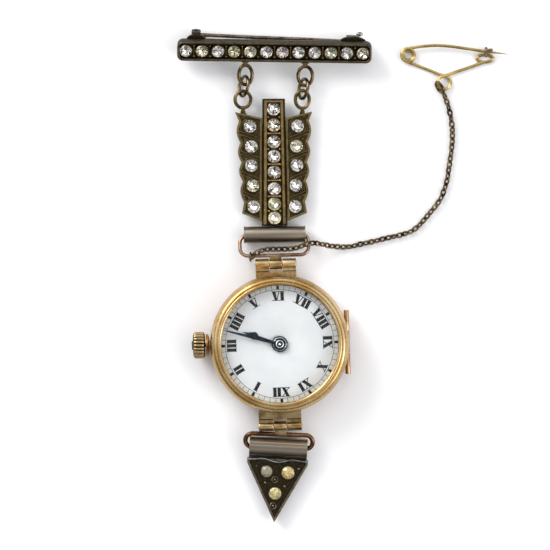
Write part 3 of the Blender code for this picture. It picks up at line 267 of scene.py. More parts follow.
def arc(radius, start, end, steps, centre=(0.0, 0.0)):
    return [polar(radius, start + (end - start) * i / steps, centre) for i in range(steps + 1)]


def circle(radius, steps=48, centre=(0.0, 0.0)):
    return arc(radius, 0, 360, steps, centre)[:-1]


def welded(bm):
    bmesh.ops.remove_doubles(bm, verts=bm.verts, dist=1e-4)
    bmesh.ops.recalc_face_normals(bm, faces=bm.faces)
    return bm


def loft(loops, caps=(True, True)):
    """A skin through closed loops of points, which all have as many points."""
    bm = bmesh.new()
    rings = [[bm.verts.new(point) for point in loop] for loop in loops]
    for here, there in zip(rings, rings[1:]):
        for i in range(len(here)):
            bm.faces.new((here[i - 1], here[i], there[i], there[i - 1]))
    for ring, cap in zip((rings[0], rings[-1]), caps):
        if cap:
            bm.faces.new(ring)
    return welded(bm)


def lathe(profile, steps=96, closed=True):
    """A turned shape about Z from (radius, height) points; open where both ends lie on the axis."""
    bm = bmesh.new()
    verts = [bm.verts.new((radius, 0, height)) for radius, height in profile]
    ends = verts[1:] + (verts[:1] if closed else [])
    edges = [bm.edges.new(pair) for pair in zip(verts, ends)]
    bmesh.ops.spin(
        bm, geom=verts + edges, axis=(0, 0, 1), cent=(0, 0, 0), angle=math.tau, steps=steps, use_merge=True
    )
    return welded(bm)


def rod(radius, low, high, soft=0.08, steps=48):
    """A cylinder about Z with softened ends."""
    profile = [(0, low), *arc(soft, -90, 0, 3, (radius - soft, low + soft))]
    return lathe([*profile, *arc(soft, 0, 90, 3, (radius - soft, high - soft)), (0, high)], steps, closed=False)


def pipe(inner, outer, low, high, soft=0.08, steps=64):
    """A hollow cylinder about Z with softened rims."""
    profile = []
    for quarter, (x, y) in enumerate(((inner, high), (inner, low), (outer, low), (outer, high))):
        centre = (x + (soft if x == inner else -soft), y + (soft if y == low else -soft))
        profile += arc(soft, 90 + 90 * quarter, 180 + 90 * quarter, 3, centre)
    return lathe(profile, steps)


def prism(outline, low, high, holes=()):
    """An outline in X and Y, with any holes, extruded from one height to another."""
    bm = bmesh.new()
    edges = []
    for ring in (outline, *holes):
        verts = [bm.verts.new((x, y, low)) for x, y in ring]
        edges += [bm.edges.new((verts[i - 1], verts[i])) for i in range(len(verts))]
    if holes:
        bmesh.ops.triangle_fill(bm, use_beauty=True, edges=edges)
    else:
        bm.faces.new(verts)
    made = bmesh.ops.extrude_face_region(bm, geom=bm.faces[:])["geom"]
    top = [item for item in made if isinstance(item, bmesh.types.BMVert)]
    bmesh.ops.translate(bm, vec=(0, 0, high - low), verts=top)
    bmesh.ops.recalc_face_normals(bm, faces=bm.faces)
    return bm


def block(low, high):
    return prism([(low[0], low[1]), (high[0], low[1]), (high[0], high[1]), (low[0], high[1])], low[2], high[2])


def wire(path, radius, sides=14, closed=False, flat=1.0, up=None):
    """A round wire along points, with rounded ends. flat squashes it along up, which planar paths give."""
    points = [Vector(point) for point in path]
    radii = list(radius) if isinstance(radius, (list, tuple)) else [radius] * len(points)
    if not closed:
        for _ in ("start", "end"):
            way = (points[0] - points[1]).normalized() * radii[0]
            points = [points[0] + way * share for share in (0.99, 0.85, 0.5)] + points
            radii = [radii[0] * share for share in (0.1, 0.5, 0.87)] + radii
            points, radii = points[::-1], radii[::-1]
    count = len(points)
    across = None
    loops = []
    for i, point in enumerate(points):
        after = points[(i + 1) % count] if closed else points[min(i + 1, count - 1)]
        before = points[i - 1] if closed else points[max(i - 1, 0)]
        along = (after - before).normalized()
        if up:
            across = along.cross(Vector(up)).normalized()
        else:
            start = across or along.orthogonal()
            across = (start - along * start.dot(along)).normalized()
        lift = across.cross(along) * flat
        turns = [math.tau * side / sides for side in range(sides)]
        loops.append([point + (across * math.cos(t) + lift * math.sin(t)) * radii[i] for t in turns])
    if closed:
        loops.append(loops[0])
    return loft(loops, (not closed, not closed))


def ball(radius, place, flat=1.0):
    """A grain of metal, half sunk in its ground."""
    bm = bmesh.new()
    bmesh.ops.create_uvsphere(bm, u_segments=12, v_segments=8, radius=radius)
    bm.transform(Matrix.Translation(place) @ Matrix.Diagonal((1, 1, flat, 1)))
    return bm


def turned(bm, x=0, y=0, z=0):
    bm.transform(Euler([math.radians(degrees) for degrees in (x, y, z)]).to_matrix().to_4x4())
    return bm


def moved(bm, x=0, y=0, z=0):
    bm.transform(Matrix.Translation((x, y, z)))
    return bm


def along_x(bm, y=0, z=0):
    return moved(turned(bm, y=90), 0, y, z)


def along_y(bm, x=0, z=0):
    return moved(turned(bm, x=-90), x, 0, z)


def mesh_of(bm, name):
    data = bpy.data.meshes.new(name)
    bm.to_mesh(data)
    bm.free()
    return data


def joined(meshes):
    whole = bmesh.new()
    for bm in meshes:
        data = mesh_of(bm, "part")
        whole.from_mesh(data)
        bpy.data.meshes.remove(data)
    return whole


def shares(count):
    """Even steps from 0 to 1."""
    return [i / count for i in range(count + 1)]


def oval(width, height, steps=64):
    """The centre line of an oval loop of a wire, from its half sizes."""
    turns = [math.tau * i / steps for i in range(steps)]
    return [(width * math.cos(t), height * math.sin(t), 0) for t in turns]


def hoop(radius, size, steps=48, flat=1.0):
    """A flat ring of thin wire."""
    return wire(oval(radius, radius, steps), size, 8, closed=True, flat=flat, up=(0, 0, 1))


def rounded(half_x, half_y, corner, steps, z=0.0, middle=(0.0, 0.0)):
    """A rectangle with round corners, at one height."""
    points = []
    for quarter, (x, y) in enumerate(((1, 1), (-1, 1), (-1, -1), (1, -1))):
        centre = (x * (half_x - corner) + middle[0], y * (half_y - corner) + middle[1])
        points += [(*point, z) for point in arc(corner, 90 * quarter, 90 * quarter + 90, steps, centre)]
    return points


def smooth_through(route, spacing):
    """Evenly spaced points along a Catmull-Rom curve through the route's points."""
    points = [Vector(point) for point in route]
    ends = [2 * points[0] - points[1], *points, 2 * points[-1] - points[-2]]
    fine = []
    for a, b, c, d in zip(ends, ends[1:], ends[2:], ends[3:]):
        square, cube = 2 * a - 5 * b + 4 * c - d, 3 * b - a - 3 * c + d
        fine += [(2 * b + (c - a) * t + square * t**2 + cube * t**3) / 2 for t in shares(12)[:-1]]
    fine.append(points[-1])
    along = [0.0]
    for one, other in zip(fine, fine[1:]):
        along.append(along[-1] + (other - one).length)
    count = round(along[-1] / spacing)
    places = []
    k = 1
    for i in range(count + 1):
        target = along[-1] * i / count
        while along[k] < target and k < len(along) - 1:
            k += 1
        places.append(fine[k - 1].lerp(fine[k], (target - along[k - 1]) / (along[k] - along[k - 1])))
    return places


# Objects


def added(name, data):
    made = bpy.data.objects.new(name, data)
    bpy.context.scene.collection.objects.link(made)
    return made


def piece(bm, name, where, look, body, replaces=None, bevel=0.0, smooth=40):
    """The mesh, or the list of meshes, as an object in its group's frame. look names one look or several."""
    if isinstance(bm, list):
        bm = joined(bm)
    looks = [LOOKS[one] for one in look.split()]
    bm.transform(Matrix.Scale(MM, 4))
    data = mesh_of(bm, name)
    for _, material in looks:
        data.materials.append(material)
    if smooth:
        data.shade_smooth()
        data.set_sharp_from_angle(angle=math.radians(smooth))
    made = added(name, data)
    made.matrix_world = where
    if bevel:
        modifier = made.modifiers.new("Soft edges", "BEVEL")
        modifier.width = bevel * MM
        modifier.segments = 3
        modifier.limit_method = "ANGLE"
        modifier.angle_limit = math.radians(35)
        modifier.harden_normals = True
    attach(made, body)
    if replaces:
        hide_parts(replaces)
    return made


# Materials


class Nodes:
    """The nodes of a material or of the world, joined by short calls."""

    def __init__(self, owner, shader="Principled BSDF", place="Object"):
        owner.use_nodes = True
        self.owner = owner
        self.tree = owner.node_tree
        self.shader = self.tree.nodes[shader]
        self.place = self.tree.nodes.new("ShaderNodeTexCoord").outputs[place]

    def fill(self, node, inputs):
        """Links or sets inputs, by number or by name."""
        for key, value in inputs.items():
            socket = node.inputs[key if isinstance(key, int) else key.replace("_", " ")]
            if isinstance(value, bpy.types.NodeSocket):
                self.tree.links.new(value, socket)
            else:
                socket.default_value = value
        return node

    def add(self, kind, values=None, **inputs):
        node = self.tree.nodes.new("ShaderNode" + kind)
        for key, value in (values or {}).items():
            setattr(node, key, value)
        return self.fill(node, inputs)

    def noise(self, scale, detail=4.0, stretch=(1, 1, 1)):
        """Noise with about this many grains to the millimetre."""
        mapping = self.add("Mapping", Vector=self.place, Scale=[share * scale / MM for share in stretch])
        return self.add("TexNoise", Vector=mapping.outputs[0], Scale=1.0, Detail=detail).outputs["Fac"]

    def spread(self, value, low, high, to_low=0.0, to_high=1.0):
        node = self.add("MapRange", {"interpolation_type": "SMOOTHSTEP"})
        return self.fill(node, dict(enumerate((value, low, high, to_low, to_high)))).outputs[0]

    def patches(self, scale, *limits, detail=4.0):
        return self.spread(self.noise(scale, detail), *limits)

    def mix(self, share, *colours):
        node = self.add("Mix", {"data_type": "RGBA"}, Factor=share)
        colours = [tone if isinstance(tone, bpy.types.NodeSocket) else (*tone, 1) for tone in colours]
        return self.fill(node, dict(enumerate(colours, 6))).outputs[2]

    def math(self, operation, *numbers):
        return self.fill(self.add("Math", {"operation": operation}), dict(enumerate(numbers))).outputs[0]

    def bump(self, height, depth, strength):
        """Bumps this many millimetres deep."""
        node = self.add("Bump", Height=height, Distance=depth * MM, Strength=strength)
        self.finish(Normal=node.outputs["Normal"])

    def along(self, axis):
        return self.add("SeparateXYZ", Vector=self.place).outputs[axis]

    def tint(self):
        return self.add("Attribute", {"attribute_name": "tint"}).outputs["Color"]

    def finish(self, **inputs):
        self.fill(self.shader, inputs)
        return self.owner

    def metal(self, colour, rough):
        return self.finish(Base_Color=colour, Roughness=rough, Metallic=1.0)


def material(name):
    return Nodes(bpy.data.materials.new(name))


def polished(name, light, dark, rough, patch=0.35):
    """Polished metal with soft patches of tarnish, fine scratches and uneven gloss."""
    nodes = material(name)
    nodes.bump(nodes.noise(14.0, 6.0, (1.0, 0.12, 1.0)), SCRATCH, 0.6)
    gloss = nodes.patches(2.5, 0.3, 0.7, rough * 0.75, rough * 1.35)
    return nodes.metal(nodes.mix(nodes.patches(patch, 0.38, 0.68), light, dark), gloss)


def worn(name, dark, bright, low, high):
    """Dark oxidised metal that is rubbed bright where it stands high, between two heights in its own frame."""
    nodes = material(name)
    rubbed = nodes.spread(nodes.along("Z"), low * MM, high * MM)
    share = nodes.math("MULTIPLY", rubbed, nodes.patches(0.9, 0.3, 0.62, 0.3, 1.0, detail=5.0))
    ground = nodes.mix(nodes.patches(2.2, 0.35, 0.7), dark, [tone * 2.2 for tone in dark])
    nodes.bump(nodes.noise(5.0, 6.0), 0.02, 0.35)
    return nodes.metal(nodes.mix(share, ground, bright), nodes.spread(share, 0.0, 1.0, 0.48, 0.28))


def striped(name, light, dark):
    """Nickel plate with broad polishing stripes."""
    nodes = material(name)
    bands = nodes.add("TexWave", {"wave_profile": "SAW"}, Vector=nodes.place, Scale=STRIPE_SCALE).outputs["Fac"]
    colour = nodes.mix(nodes.patches(0.4, 0.38, 0.68), light, dark)
    colour = nodes.mix(nodes.spread(bands, 0.0, 1.0, 0.0, 0.45), colour, [tone * 0.6 for tone in dark])
    nodes.bump(bands, 0.01, 0.4)
    return nodes.metal(colour, 0.3)


def fluted_gold(light, dark):
    """Gold darkened deep in the flutes of the crown: painted shade in the recesses, made a little darker again in
    random patches.
    """
    nodes = material("crown_gold")
    flat = nodes.add("Mapping", Vector=nodes.place, Scale=(0, 1, 1), Location=(0, -STEM[0] * MM, -STEM[1] * MM))
    reach = nodes.add("VectorMath", {"operation": "LENGTH"}, Vector=flat.outputs[0]).outputs["Value"]
    # Painted shade: the deeper a point lies in a flute, the closer its colour comes to the dark gold.
    painted_flute_shade = nodes.spread(reach, (CROWN_RADIUS - 0.3) * MM, (CROWN_RADIUS - 0.06) * MM)
    painted_flute_shade = nodes.math("MULTIPLY", painted_flute_shade, nodes.patches(0.8, 0.35, 0.7, 0.75, 1.0))
    return nodes.metal(nodes.mix(painted_flute_shade, dark, light), 0.24)


def rolled(name, light, dark, low, high):
    """Sheet silver rolled into a tube, with fine streaks along it: darker towards the side that faces away, which is
    low in y, as painted shade on that side of the round tube.
    """
    nodes = material(name)
    cloud = nodes.math("MULTIPLY_ADD", nodes.noise(0.5, 3.0, (0.4, 1, 1)), 0.9 * MM, -0.45 * MM)
    # Painted shade: light where y is high, dark where it is low, with a cloudy edge between.
    painted_lit_side = nodes.spread(nodes.math("ADD", nodes.along("Y"), cloud), low * MM, high * MM)
    lines = nodes.noise(9.0, 3.0, (0.04, 1, 1))
    colour = nodes.mix(painted_lit_side, dark, light)
    colour = nodes.mix(nodes.spread(lines, 0.3, 0.75, 0.0, 0.35), colour, [tone * 0.6 for tone in light])
    nodes.bump(lines, 0.003, 0.5)
    return nodes.metal(colour, 0.3)


def blended(name, spots, one, other, detail=4.0, **finish):
    """One colour with spots of another in it. None stands for the mesh's own tint."""
    nodes = material(name)
    colour = nodes.mix(nodes.patches(*spots, detail=detail), one or nodes.tint(), other)
    return nodes.finish(Base_Color=colour, **finish)


def enamel():
    nodes = material("dial_enamel")
    cloud = nodes.mix(nodes.patches(0.12, 0.3, 0.7), (0.54, 0.55, 0.56), (0.585, 0.59, 0.59))
    nodes.bump(nodes.noise(0.5), 0.01, 0.4)
    colour = nodes.mix(nodes.patches(5.0, 0.74, 0.78, detail=2.0), cloud, (0.42, 0.41, 0.38))
    return nodes.finish(Base_Color=colour, Roughness=0.12, Coat_Weight=0.4, Coat_Roughness=0.05)


def blued():
    nodes = material("blued_steel")
    nodes.bump(nodes.noise(12.0, 4.0, (0.2, 1.0, 1.0)), 0.003, 0.5)
    return nodes.metal(nodes.mix(nodes.patches(0.8, 0.35, 0.65), (0.018, 0.030, 0.045), (0.05, 0.07, 0.09)), 0.28)


def crystal_glass():
    """Clear glass that lets lamps light the dial, a little scuffed."""
    nodes = material("crystal_glass")
    tone = nodes.mix(nodes.patches(0.4, 0.4, 0.7), (0.99, 1.0, 1.0), (0.97, 0.98, 0.98))
    nodes.finish(Base_Color=tone, Roughness=0.0, IOR=1.25, Transmission_Weight=1.0)
    clear = nodes.add("BsdfTransparent", Color=(0.97, 0.98, 0.98, 1.0)).outputs[0]
    shadow = nodes.add("LightPath").outputs["Is Shadow Ray"]
    pick = nodes.fill(nodes.add("MixShader"), dict(enumerate((shadow, nodes.shader.outputs[0], clear))))
    nodes.fill(nodes.tree.nodes["Material Output"], {"Surface": pick.outputs[0]})
    return nodes.owner


def make_looks():
    """Each look's slot in the record, and its material."""
    dark = (0.022, 0.016, 0.009)
    slots = {
        "dark_silver": {
            "bar": worn("bar_metal", dark, (0.12, 0.098, 0.058), 0.9, 1.3),
            "claws": worn("claw_metal", (0.04, 0.027, 0.012), (0.30, 0.22, 0.10), 0.5, 0.9),
            "plaque": worn("wing_metal", (0.036, 0.026, 0.012), (0.30, 0.23, 0.10), 2.19, 2.34),
            "column": worn("column_metal", (0.03, 0.02, 0.009), (0.44, 0.30, 0.12), 2.86, 2.99),
            "setting": worn("setting_metal", (0.05, 0.032, 0.012), (0.40, 0.27, 0.11), 2.45, 2.75),
            "drop": worn("drop_metal", dark, (0.23, 0.20, 0.14), 0.08, 0.28),
            "fitting": worn("fitting_metal", dark, (0.10, 0.08, 0.045), -2.2, -1.4),
        },
        "dark_brass": {
            "loops": polished("loop_brass", (0.19, 0.13, 0.055), (0.035, 0.024, 0.012), 0.2, 0.6),
            "chain": polished("chain_bronze", (0.20, 0.14, 0.07), (0.035, 0.025, 0.015), 0.3, 0.8),
        },
        "rose_gold": {
            "gold": polished("bezel_gold", (0.62, 0.46, 0.24), (0.41, 0.245, 0.08), 0.3, 0.13),
            "hinge": polished("hinge_gold", (0.60, 0.45, 0.225), (0.30, 0.18, 0.07), 0.17, 0.45),
            "rose": polished("case_gold", (0.58, 0.37, 0.20), (0.44, 0.26, 0.13), 0.18, 0.2),
            "crown": fluted_gold((0.55, 0.40, 0.19), (0.06, 0.035, 0.014)),
        },
        "link_gold": {
            "link": polished("link_gold", (0.50, 0.35, 0.24), (0.22, 0.12, 0.07), 0.2, 0.3),
            "old_link": polished("old_link_gold", (0.30, 0.16, 0.075), (0.09, 0.04, 0.02), 0.2),
        },
        "pin_gold": {"pin": polished("pin_gold", (0.60, 0.45, 0.18), (0.36, 0.25, 0.09), 0.24, 0.25)},
        "silver": {
            "silver": rolled("tube_silver", (0.33, 0.285, 0.22), (0.06, 0.045, 0.025), -1.5, -0.3),
            "roll": rolled("drop_silver", (0.31, 0.265, 0.205), (0.05, 0.038, 0.022), -1.9, -0.4),
            "nickel": polished("catch_nickel", (0.42, 0.42, 0.41), (0.20, 0.19, 0.18), 0.24, 0.5),
        },
        "steel": {
            "bright": polished("bright_steel", (0.85, 0.85, 0.84), (0.60, 0.60, 0.60), 0.3, 0.9),
            "steel": polished("old_steel", (0.26, 0.20, 0.13), (0.10, 0.07, 0.045), 0.28, 0.5),
        },
        "brass": {"wheel": polished("wheel_brass", (0.80, 0.60, 0.30), (0.62, 0.44, 0.20), 0.24, 0.5)},
        "nickel_plate": {"plate": striped("nickel_plate", (0.70, 0.67, 0.60), (0.54, 0.50, 0.42))},
        # Tinted glass, the silvered back with dark spots where it has perished, and old paste that has clouded; the
        # tint that they read from the stones also holds painted reflections, bright and dark facets.
        "paste": {
            "glass": blended("paste_glass", (1.5, 0.45, 0.8, 0.0, 0.2), None, (0.9, 0.9, 0.86), **PASTE),
            "foil": blended("paste_foil", (1.6, 0.58, 0.7, 0.0, 0.8), None, (0.25, 0.23, 0.20), **FOIL),
            "cloudy": blended("cloudy_paste", (2.4, 0.42, 0.62), None, (0.30, 0.25, 0.13), 6.0, **CLOUDY),
        },
        "enamel": {"enamel": enamel()},
        "blued_steel": {
            "print": blended("dial_print", (6.0, 0.4, 0.7), (0.004, 0.004, 0.005), (0.014, 0.014, 0.016), **PRINT),
            "blued": blued(),
        },
        "crystal": {"crystal": crystal_glass()},
    }
    return {look: (slot, made) for slot, group in slots.items() for look, made in group.items()}


LOOKS = make_looks()


# Stones


def brilliant(bm, centre, radius, turn, tint, painted_sparkle, crown=0.45, pavilion=0.4):
    """A round paste stone: table, star, kite and girdle facets in glass over a foiled pavilion.

    The shares drawn at random for the crown's and for the pavilion's facets scale each facet's tint: painted
    reflections, bright and dark facets painted into the colour.
    """
    layer = bm.loops.layers.float_color.get("tint") or bm.loops.layers.float_color.new("tint")
    x, y, z = centre

    def ring(share, count, shift, height):
        spots = [polar(radius * share, turn + 360 * (i + shift) / count, (x, y)) for i in range(count)]
        return [bm.verts.new((*spot, z + height)) for spot in spots]

    table = ring(0.56, 8, 0, crown)
    star = ring(0.8, 8, 0.5, crown * 0.48)
    girdle = ring(1, 16, 0, 0.04)
    under = ring(1, 16, 0, -0.04)
    lower = ring(0.42, 8, 0.5, -pavilion * 0.7)
    culet = bm.verts.new((x, y, z - pavilion))
    glass, backing = [table], []
    for k in range(8):
        k_next = (k + 1) % 8
        g = [girdle[(2 * k + i) % 16] for i in range(3)]
        u = [under[(2 * k + i) % 16] for i in range(3)]
        glass += [(table[k], star[k], table[k_next]), (table[k], star[k - 1], g[0], star[k])]
        glass += [(star[k], g[0], g[1]), (star[k], g[1], g[2])]
        backing += [(g[0], u[0], u[1], g[1]), (g[1], u[1], u[2], g[2])]
        backing += [(u[0], lower[k], u[1]), (u[1], lower[k], u[2]), (u[0], lower[k - 1], culet, lower[k])]
    for index, faces in enumerate((glass, backing)):
        for corners in faces:
            face = bm.faces.new(corners)
            face.material_index = index
            # Painted reflection: the facet's tint is scaled by a share drawn at random.
            share = random.choice(painted_sparkle[index])
            for loop in face.loops:
                loop[layer] = (*[tone * share for tone in tint], 1)


def stones(name, spots, where, body, replaces, cloudy=False):
    """Stones in one piece: each spot is (x, y, girdle height, radius, tint name)."""
    bm = bmesh.new()
    random.seed(name)
    # Painted reflections: random bright and dark facets on the foil of clear stones, and on both faces of cloudy
    # ones.
    painted_sparkle = (CLOUDY_PAINTED_SPARKLE, CLOUDY_PAINTED_SPARKLE) if cloudy else (GLASS_PAINTED_SPARKLE, FOIL_PAINTED_SPARKLE)
    for x, y, z, radius, tint in spots:
        depth = random.uniform(0.92, 1.02)
        shade = [min(1.0, tone * depth) for tone in TINTS[tint]]
        brilliant(bm, (x, y, z), radius, random.uniform(0, 45), shade, painted_sparkle)
    bmesh.ops.recalc_face_normals(bm, faces=bm.faces)
    return piece(bm, name, where, "cloudy cloudy" if cloudy else "glass foil", body, replaces, smooth=0)


def collet(radius, low, high, wall=0.12):
    """The cup that holds a stone, with a thin rim under its girdle."""
    rim = arc(wall / 2, 0, 180, 5, (radius + wall / 2, high - wall / 2))
    return lathe([(radius * 0.7, low), (radius + wall, low), *rim, (radius * 0.97, low + 0.2)], 32)


# Camera, cord and safety pin


def make_camera():
    data = bpy.data.cameras.new("camera")
    data.sensor_width = SENSOR
    data.lens = SENSOR * CAMERA_HEIGHT / VIEW_WIDTH
    data.clip_end = 100
    camera = added("camera", data)
    camera.location = Vector((*VIEW_CENTRE, CAMERA_HEIGHT)) * MM
    bpy.context.scene.camera = camera


def chain_link(place, along, roll):
    """One oval link, lying along the chain and rolled about it."""
    half = [size / 2 - CHAIN_WIRE for size in CHAIN_LINK]
    bm = wire(oval(*half, steps=20), CHAIN_WIRE, sides=8, closed=True)
    turn = along.to_track_quat("X", "Z").to_matrix() @ Matrix.Rotation(math.radians(roll), 3, "X")
    bm.transform(Matrix.Translation(place) @ turn.to_4x4())
    return bm


def make_chain(pin_pieces):
    """The trace chain: alternate links rolled each way, as they lie on a table."""
    path = smooth_through(CHAIN_ROUTE, CHAIN_PITCH)
    random.seed(7)
    links = []
    for i, (one, other) in enumerate(zip(path, path[1:])):
        roll = (48 if i % 2 else -42) + random.uniform(-9, 9)
        sway = Vector((random.uniform(-0.05, 0.05), random.uniform(-0.05, 0.05), 0))
        links.append(chain_link((one + other) / 2, other - one + sway, roll))
    start_ring = wire(oval(1.05, 0.8), 0.22, closed=True)
    start_ring.transform(placed(*START_RING))
    end_ring = moved(turned(wire(oval(1.25, 0.85), 0.3, closed=True), x=58, z=-58), *END_RING)
    chain = piece(links, "trace_chain", WORLD, "chain", "safety_chain", "safety_chain")
    for name, bm in (("chain_start_ring", start_ring), ("chain_end_ring", end_ring)):
        pin_pieces.append(piece(bm, name, WORLD, "chain", "safety_chain"))


def make_safety_pin():
    """The pin's bent frame with its hook, and its sprung stem."""
    coil = []
    for share in shares(60):
        coil.append((*polar(0.9 + (PIN_COIL_RADIUS - 0.9) * share, -292 + 540 * share, PIN_COIL), PIN_LOW))
    turns = arc(PIN_COIL_RADIUS, 68, -253, 44, PIN_LOOP)
    loop = [(*point, PIN_LOW + 0.5 * math.sin(math.pi * i / 88)) for i, point in enumerate(turns)]
    x, y = PIN_EYE
    across, up = PIN_EYE_HALF
    start = (x - 0.1, y - up)
    loop.append((*[0.75 * a + 0.25 * b for a, b in zip(turns[-1], start)], PIN_LOW))
    angles = [math.radians(a) for a in range(-90, 250, 10)]
    eye = [(x + across * math.cos(t), y + up * math.sin(t), PIN_LOW) for t in angles]
    frame_wire = wire([*coil, *loop, (*start, PIN_LOW), *eye], PIN_WIRE, sides=16)
    bend = [(x + 0.2, *point) for point in arc(0.67, -90, 70, 14, (PIN_STEM[-2][1], PIN_HIGH))]
    end = Vector(bend[-1])
    path = [(x + 0.2, y + 0.6, PIN_LOW), *bend, end + Vector((0.3, -0.03, 0.03)), end + Vector((1.1, 0.1, 0.02))]
    hook = wire(path, PIN_WIRE, sides=16)
    ring = [(*point, PIN_HIGH) for point in circle(PIN_COIL_RADIUS, 48, PIN_COIL)]
    path = smooth_through([(*point, PIN_HIGH) for point in PIN_STEM], 0.6)
    radii = [PIN_WIRE * min(1, 0.12 + (len(path) - 1 - i) / 9) for i in range(len(path))]
    stem = [wire(ring, PIN_WIRE, sides=16, closed=True), wire(path, radii, sides=16)]
    return [
        piece(frame_wire, "pin_frame_wire", WORLD, "pin", "safety_chain", "safety_pin_frame"),
        piece(hook, "pin_hook_wire", WORLD, "steel", "safety_chain"),
        piece(stem, "pin_stem_wire", WORLD, "pin", "safety_pin_stem", "safety_pin_stem"),
    ]


# Brooch


def make_bar():
    half_x, half_y, half_z = BAR_HALF
    levels = (
        *((0.15, -half_z), (0.0, -half_z + 0.15), (0.0, -0.35), (0.12, -0.25), (0.12, -0.1), (0.0, 0.0)),
        *((0.0, half_z - 0.3), (0.08, half_z - 0.08), (0.25, half_z), (0.42, half_z - 0.03), (0.52, half_z - 0.15)),
        *((0.62, BAR_FLOOR + 0.1), (0.75, BAR_FLOOR)),
    )
    shell = loft([rounded(half_x - inset, half_y - inset, BAR_CORNER - inset * 0.9, 8, z) for inset, z in levels])
    places = [(i - (BAR_STONES - 1) / 2) * BAR_PITCH for i in range(BAR_STONES)]
    girdle = half_z - 0.42
    made = [moved(collet(BAR_STONE, BAR_FLOOR, girdle), x) for x in places]
    for i, (one, other) in enumerate(zip(places, places[1:])):
        x = (one + other) / 2
        made += [ball(0.2, (x, side * 1.12, half_z - 0.5), 0.8) for side in (-1, 1)]
        if i % 3 != 1:
            made.append(wire([(x, y, BAR_FLOOR + 0.45) for y in (-0.85, 0.85)], 0.13, 10))
    piece(shell, "bar_shell", BAR, "bar", "brooch", "brooch_bar", smooth=50)
    piece(made, "bar_settings", BAR, "claws", "brooch")
    spots = [(x, 0, girdle, BAR_STONE, tint) for x, tint in zip(places, BAR_TINTS)]
    stones("bar_stones", spots, BAR, "brooch", "brooch_stones")


def make_loop(centre, width, height, slope, neck, reach):
    """A soldered loop with a flared neck: neck is +1 where it stands above the loop, -1 below."""
    half = (width / 2 - LOOP_WIRE, height / 2 - LOOP_WIRE)
    ring = wire(oval(*half), LOOP_WIRE, closed=True, sides=16)
    flare = ((-0.1, 0.35), (0.25, 0.42), (0.55, 0.55), (0.8, 0.78), (1.0, 1.1))
    edge = [(neck * wide, neck * (half[1] + share * reach)) for share, wide in flare]
    edge += [(-x, y) for x, y in reversed(edge)]
    return moved(turned(joined([ring, prism(edge, -0.3, 0.3)]), x=slope), *centre)


def make_loops_and_rings():
    for side, (centre, width, height) in BAR_LOOPS.items():
        loop = make_loop(centre, width, height, LOOP_SLOPE, 1, 0.9)
        piece(loop, f"soldered_loop_{side}", WORLD, "loops", "brooch", f"bar_loop_{side}", bevel=0.1)
    for side, centre in RING_CENTRES.items():
        path = [(0, y, z) for y, z in circle(RING_RADIUS, 72)]
        ring = turned(turned(wire(path, RING_WIRE, 16, closed=True), y=RING_LEAN), z=-RING_YAW)
        piece(moved(ring, *centre), f"jump_ring_{side}", WORLD, "loops", "rings", f"ring_{side}")


def hump(left, right, low, high):
    """An outline with a flat foot and an arched top."""
    middle, half = (left + right) / 2, (right - left) / 2
    turns = [math.pi * share for share in shares(40)]
    return [(middle + half * math.cos(t), low + (high - low) * max(0.0, math.sin(t)) ** 0.55) for t in turns]


def make_pin_fittings():
    """The pin's joint and stem, and the catch with its turning collar, behind the bar."""
    x, y, z = PIN_AXIS
    back = -BAR_HALF[2] - 0.04
    made = [prism(hump(x - 2.2, x + 2.3, 0.2, 3.0), back - 0.5, back)]
    for low in (y - 1.0, y + 0.55):
        made.append(block((x - 0.95, low, z), (x + 0.95, low + 0.45, back - 0.2)))
        made.append(moved(along_y(rod(0.95, 0, 0.45), x, z), 0, low))
    made.append(along_y(rod(0.3, y - 1.15, y + 1.15), x, z))
    piece(made, "pin_joint_body", BAR, "fitting", "brooch", "pin_joint", bevel=0.12)
    start = x + 0.8
    path = [(start + (PIN_TIP - start) * s, y - PIN_DROP * math.sin(s * math.pi / 2), z) for s in shares(24)]
    radii = [0.4 - 0.34 * (max(0.0, s - 0.55) / 0.45) ** 1.6 for s in shares(24)]
    coil = along_y(pipe(0.36, 0.85, y - 0.42, y + 0.42, 0.12), x, z)
    piece([coil, wire(path, radii, 16)], "pin_stem", BAR, "steel", "brooch_pin", "brooch_pin")
    low, high = CATCH
    y -= PIN_DROP
    plate = prism(hump(low - 1.8, high + 2.3, 0.2, 2.9), back - 0.5, back)
    post = block((low, y - 0.7, z + 0.75), (high, y + 0.7, back - 0.2))
    stub = block((high + 0.1, y + 0.7, z - 0.2), (high + 0.55, y + 1.4, z + 0.2))
    knob = ball(0.6, (0, 0, 0))
    knob.transform(Matrix.Diagonal((1.25, 0.85, 0.7, 1)))
    knob = moved(knob, high + 0.62, y + 1.4, z)
    mouth = arc(CATCH_RADIUS, 130, 410, 24, (y, z)) + arc(0.48, 410, 130, 24, (y, z))
    for name, body, ends, extra, look, old in (
        ("catch_hook", "brooch", (low, high), (plate, post), "fitting", "bar_catch"),
        ("catch_collar", "catch_lever", (high + 0.05, high + 0.6), (stub, knob), "nickel", "catch_lever"),
    ):
        shell = loft([[(x, *point) for point in mouth] for x in ends])
        piece([shell, *extra], name, BAR, look, body, old, bevel=0.05)


# Plaque


def column_half(y):
    low, high = COLUMN_ENDS
    return COLUMN_HALF[0] + (COLUMN_HALF[1] - COLUMN_HALF[0]) * (y - low) / (high - low)


def notch_x(y):
    return 6.76 + 0.055 * y


def wing_outline():
    """The right wing: pointed top corner, four bulging feathers, pointed bottom corner."""
    outline = [(column_half(-12.1) + 0.05, -12.1), (6.75, -10.45)]
    notches = NOTCHES[::-1]
    for low, high in zip(notches, notches[1:]):
        for share in shares(12)[:-1]:
            y = low + (high - low) * share
            outline.append((notch_x(y) + 0.62 * math.sin(math.pi * share), y))
    return outline + [(notch_x(notches[-1]), notches[-1]), (8.05, 10.6), (column_half(9.3) + 0.05, 9.3)]


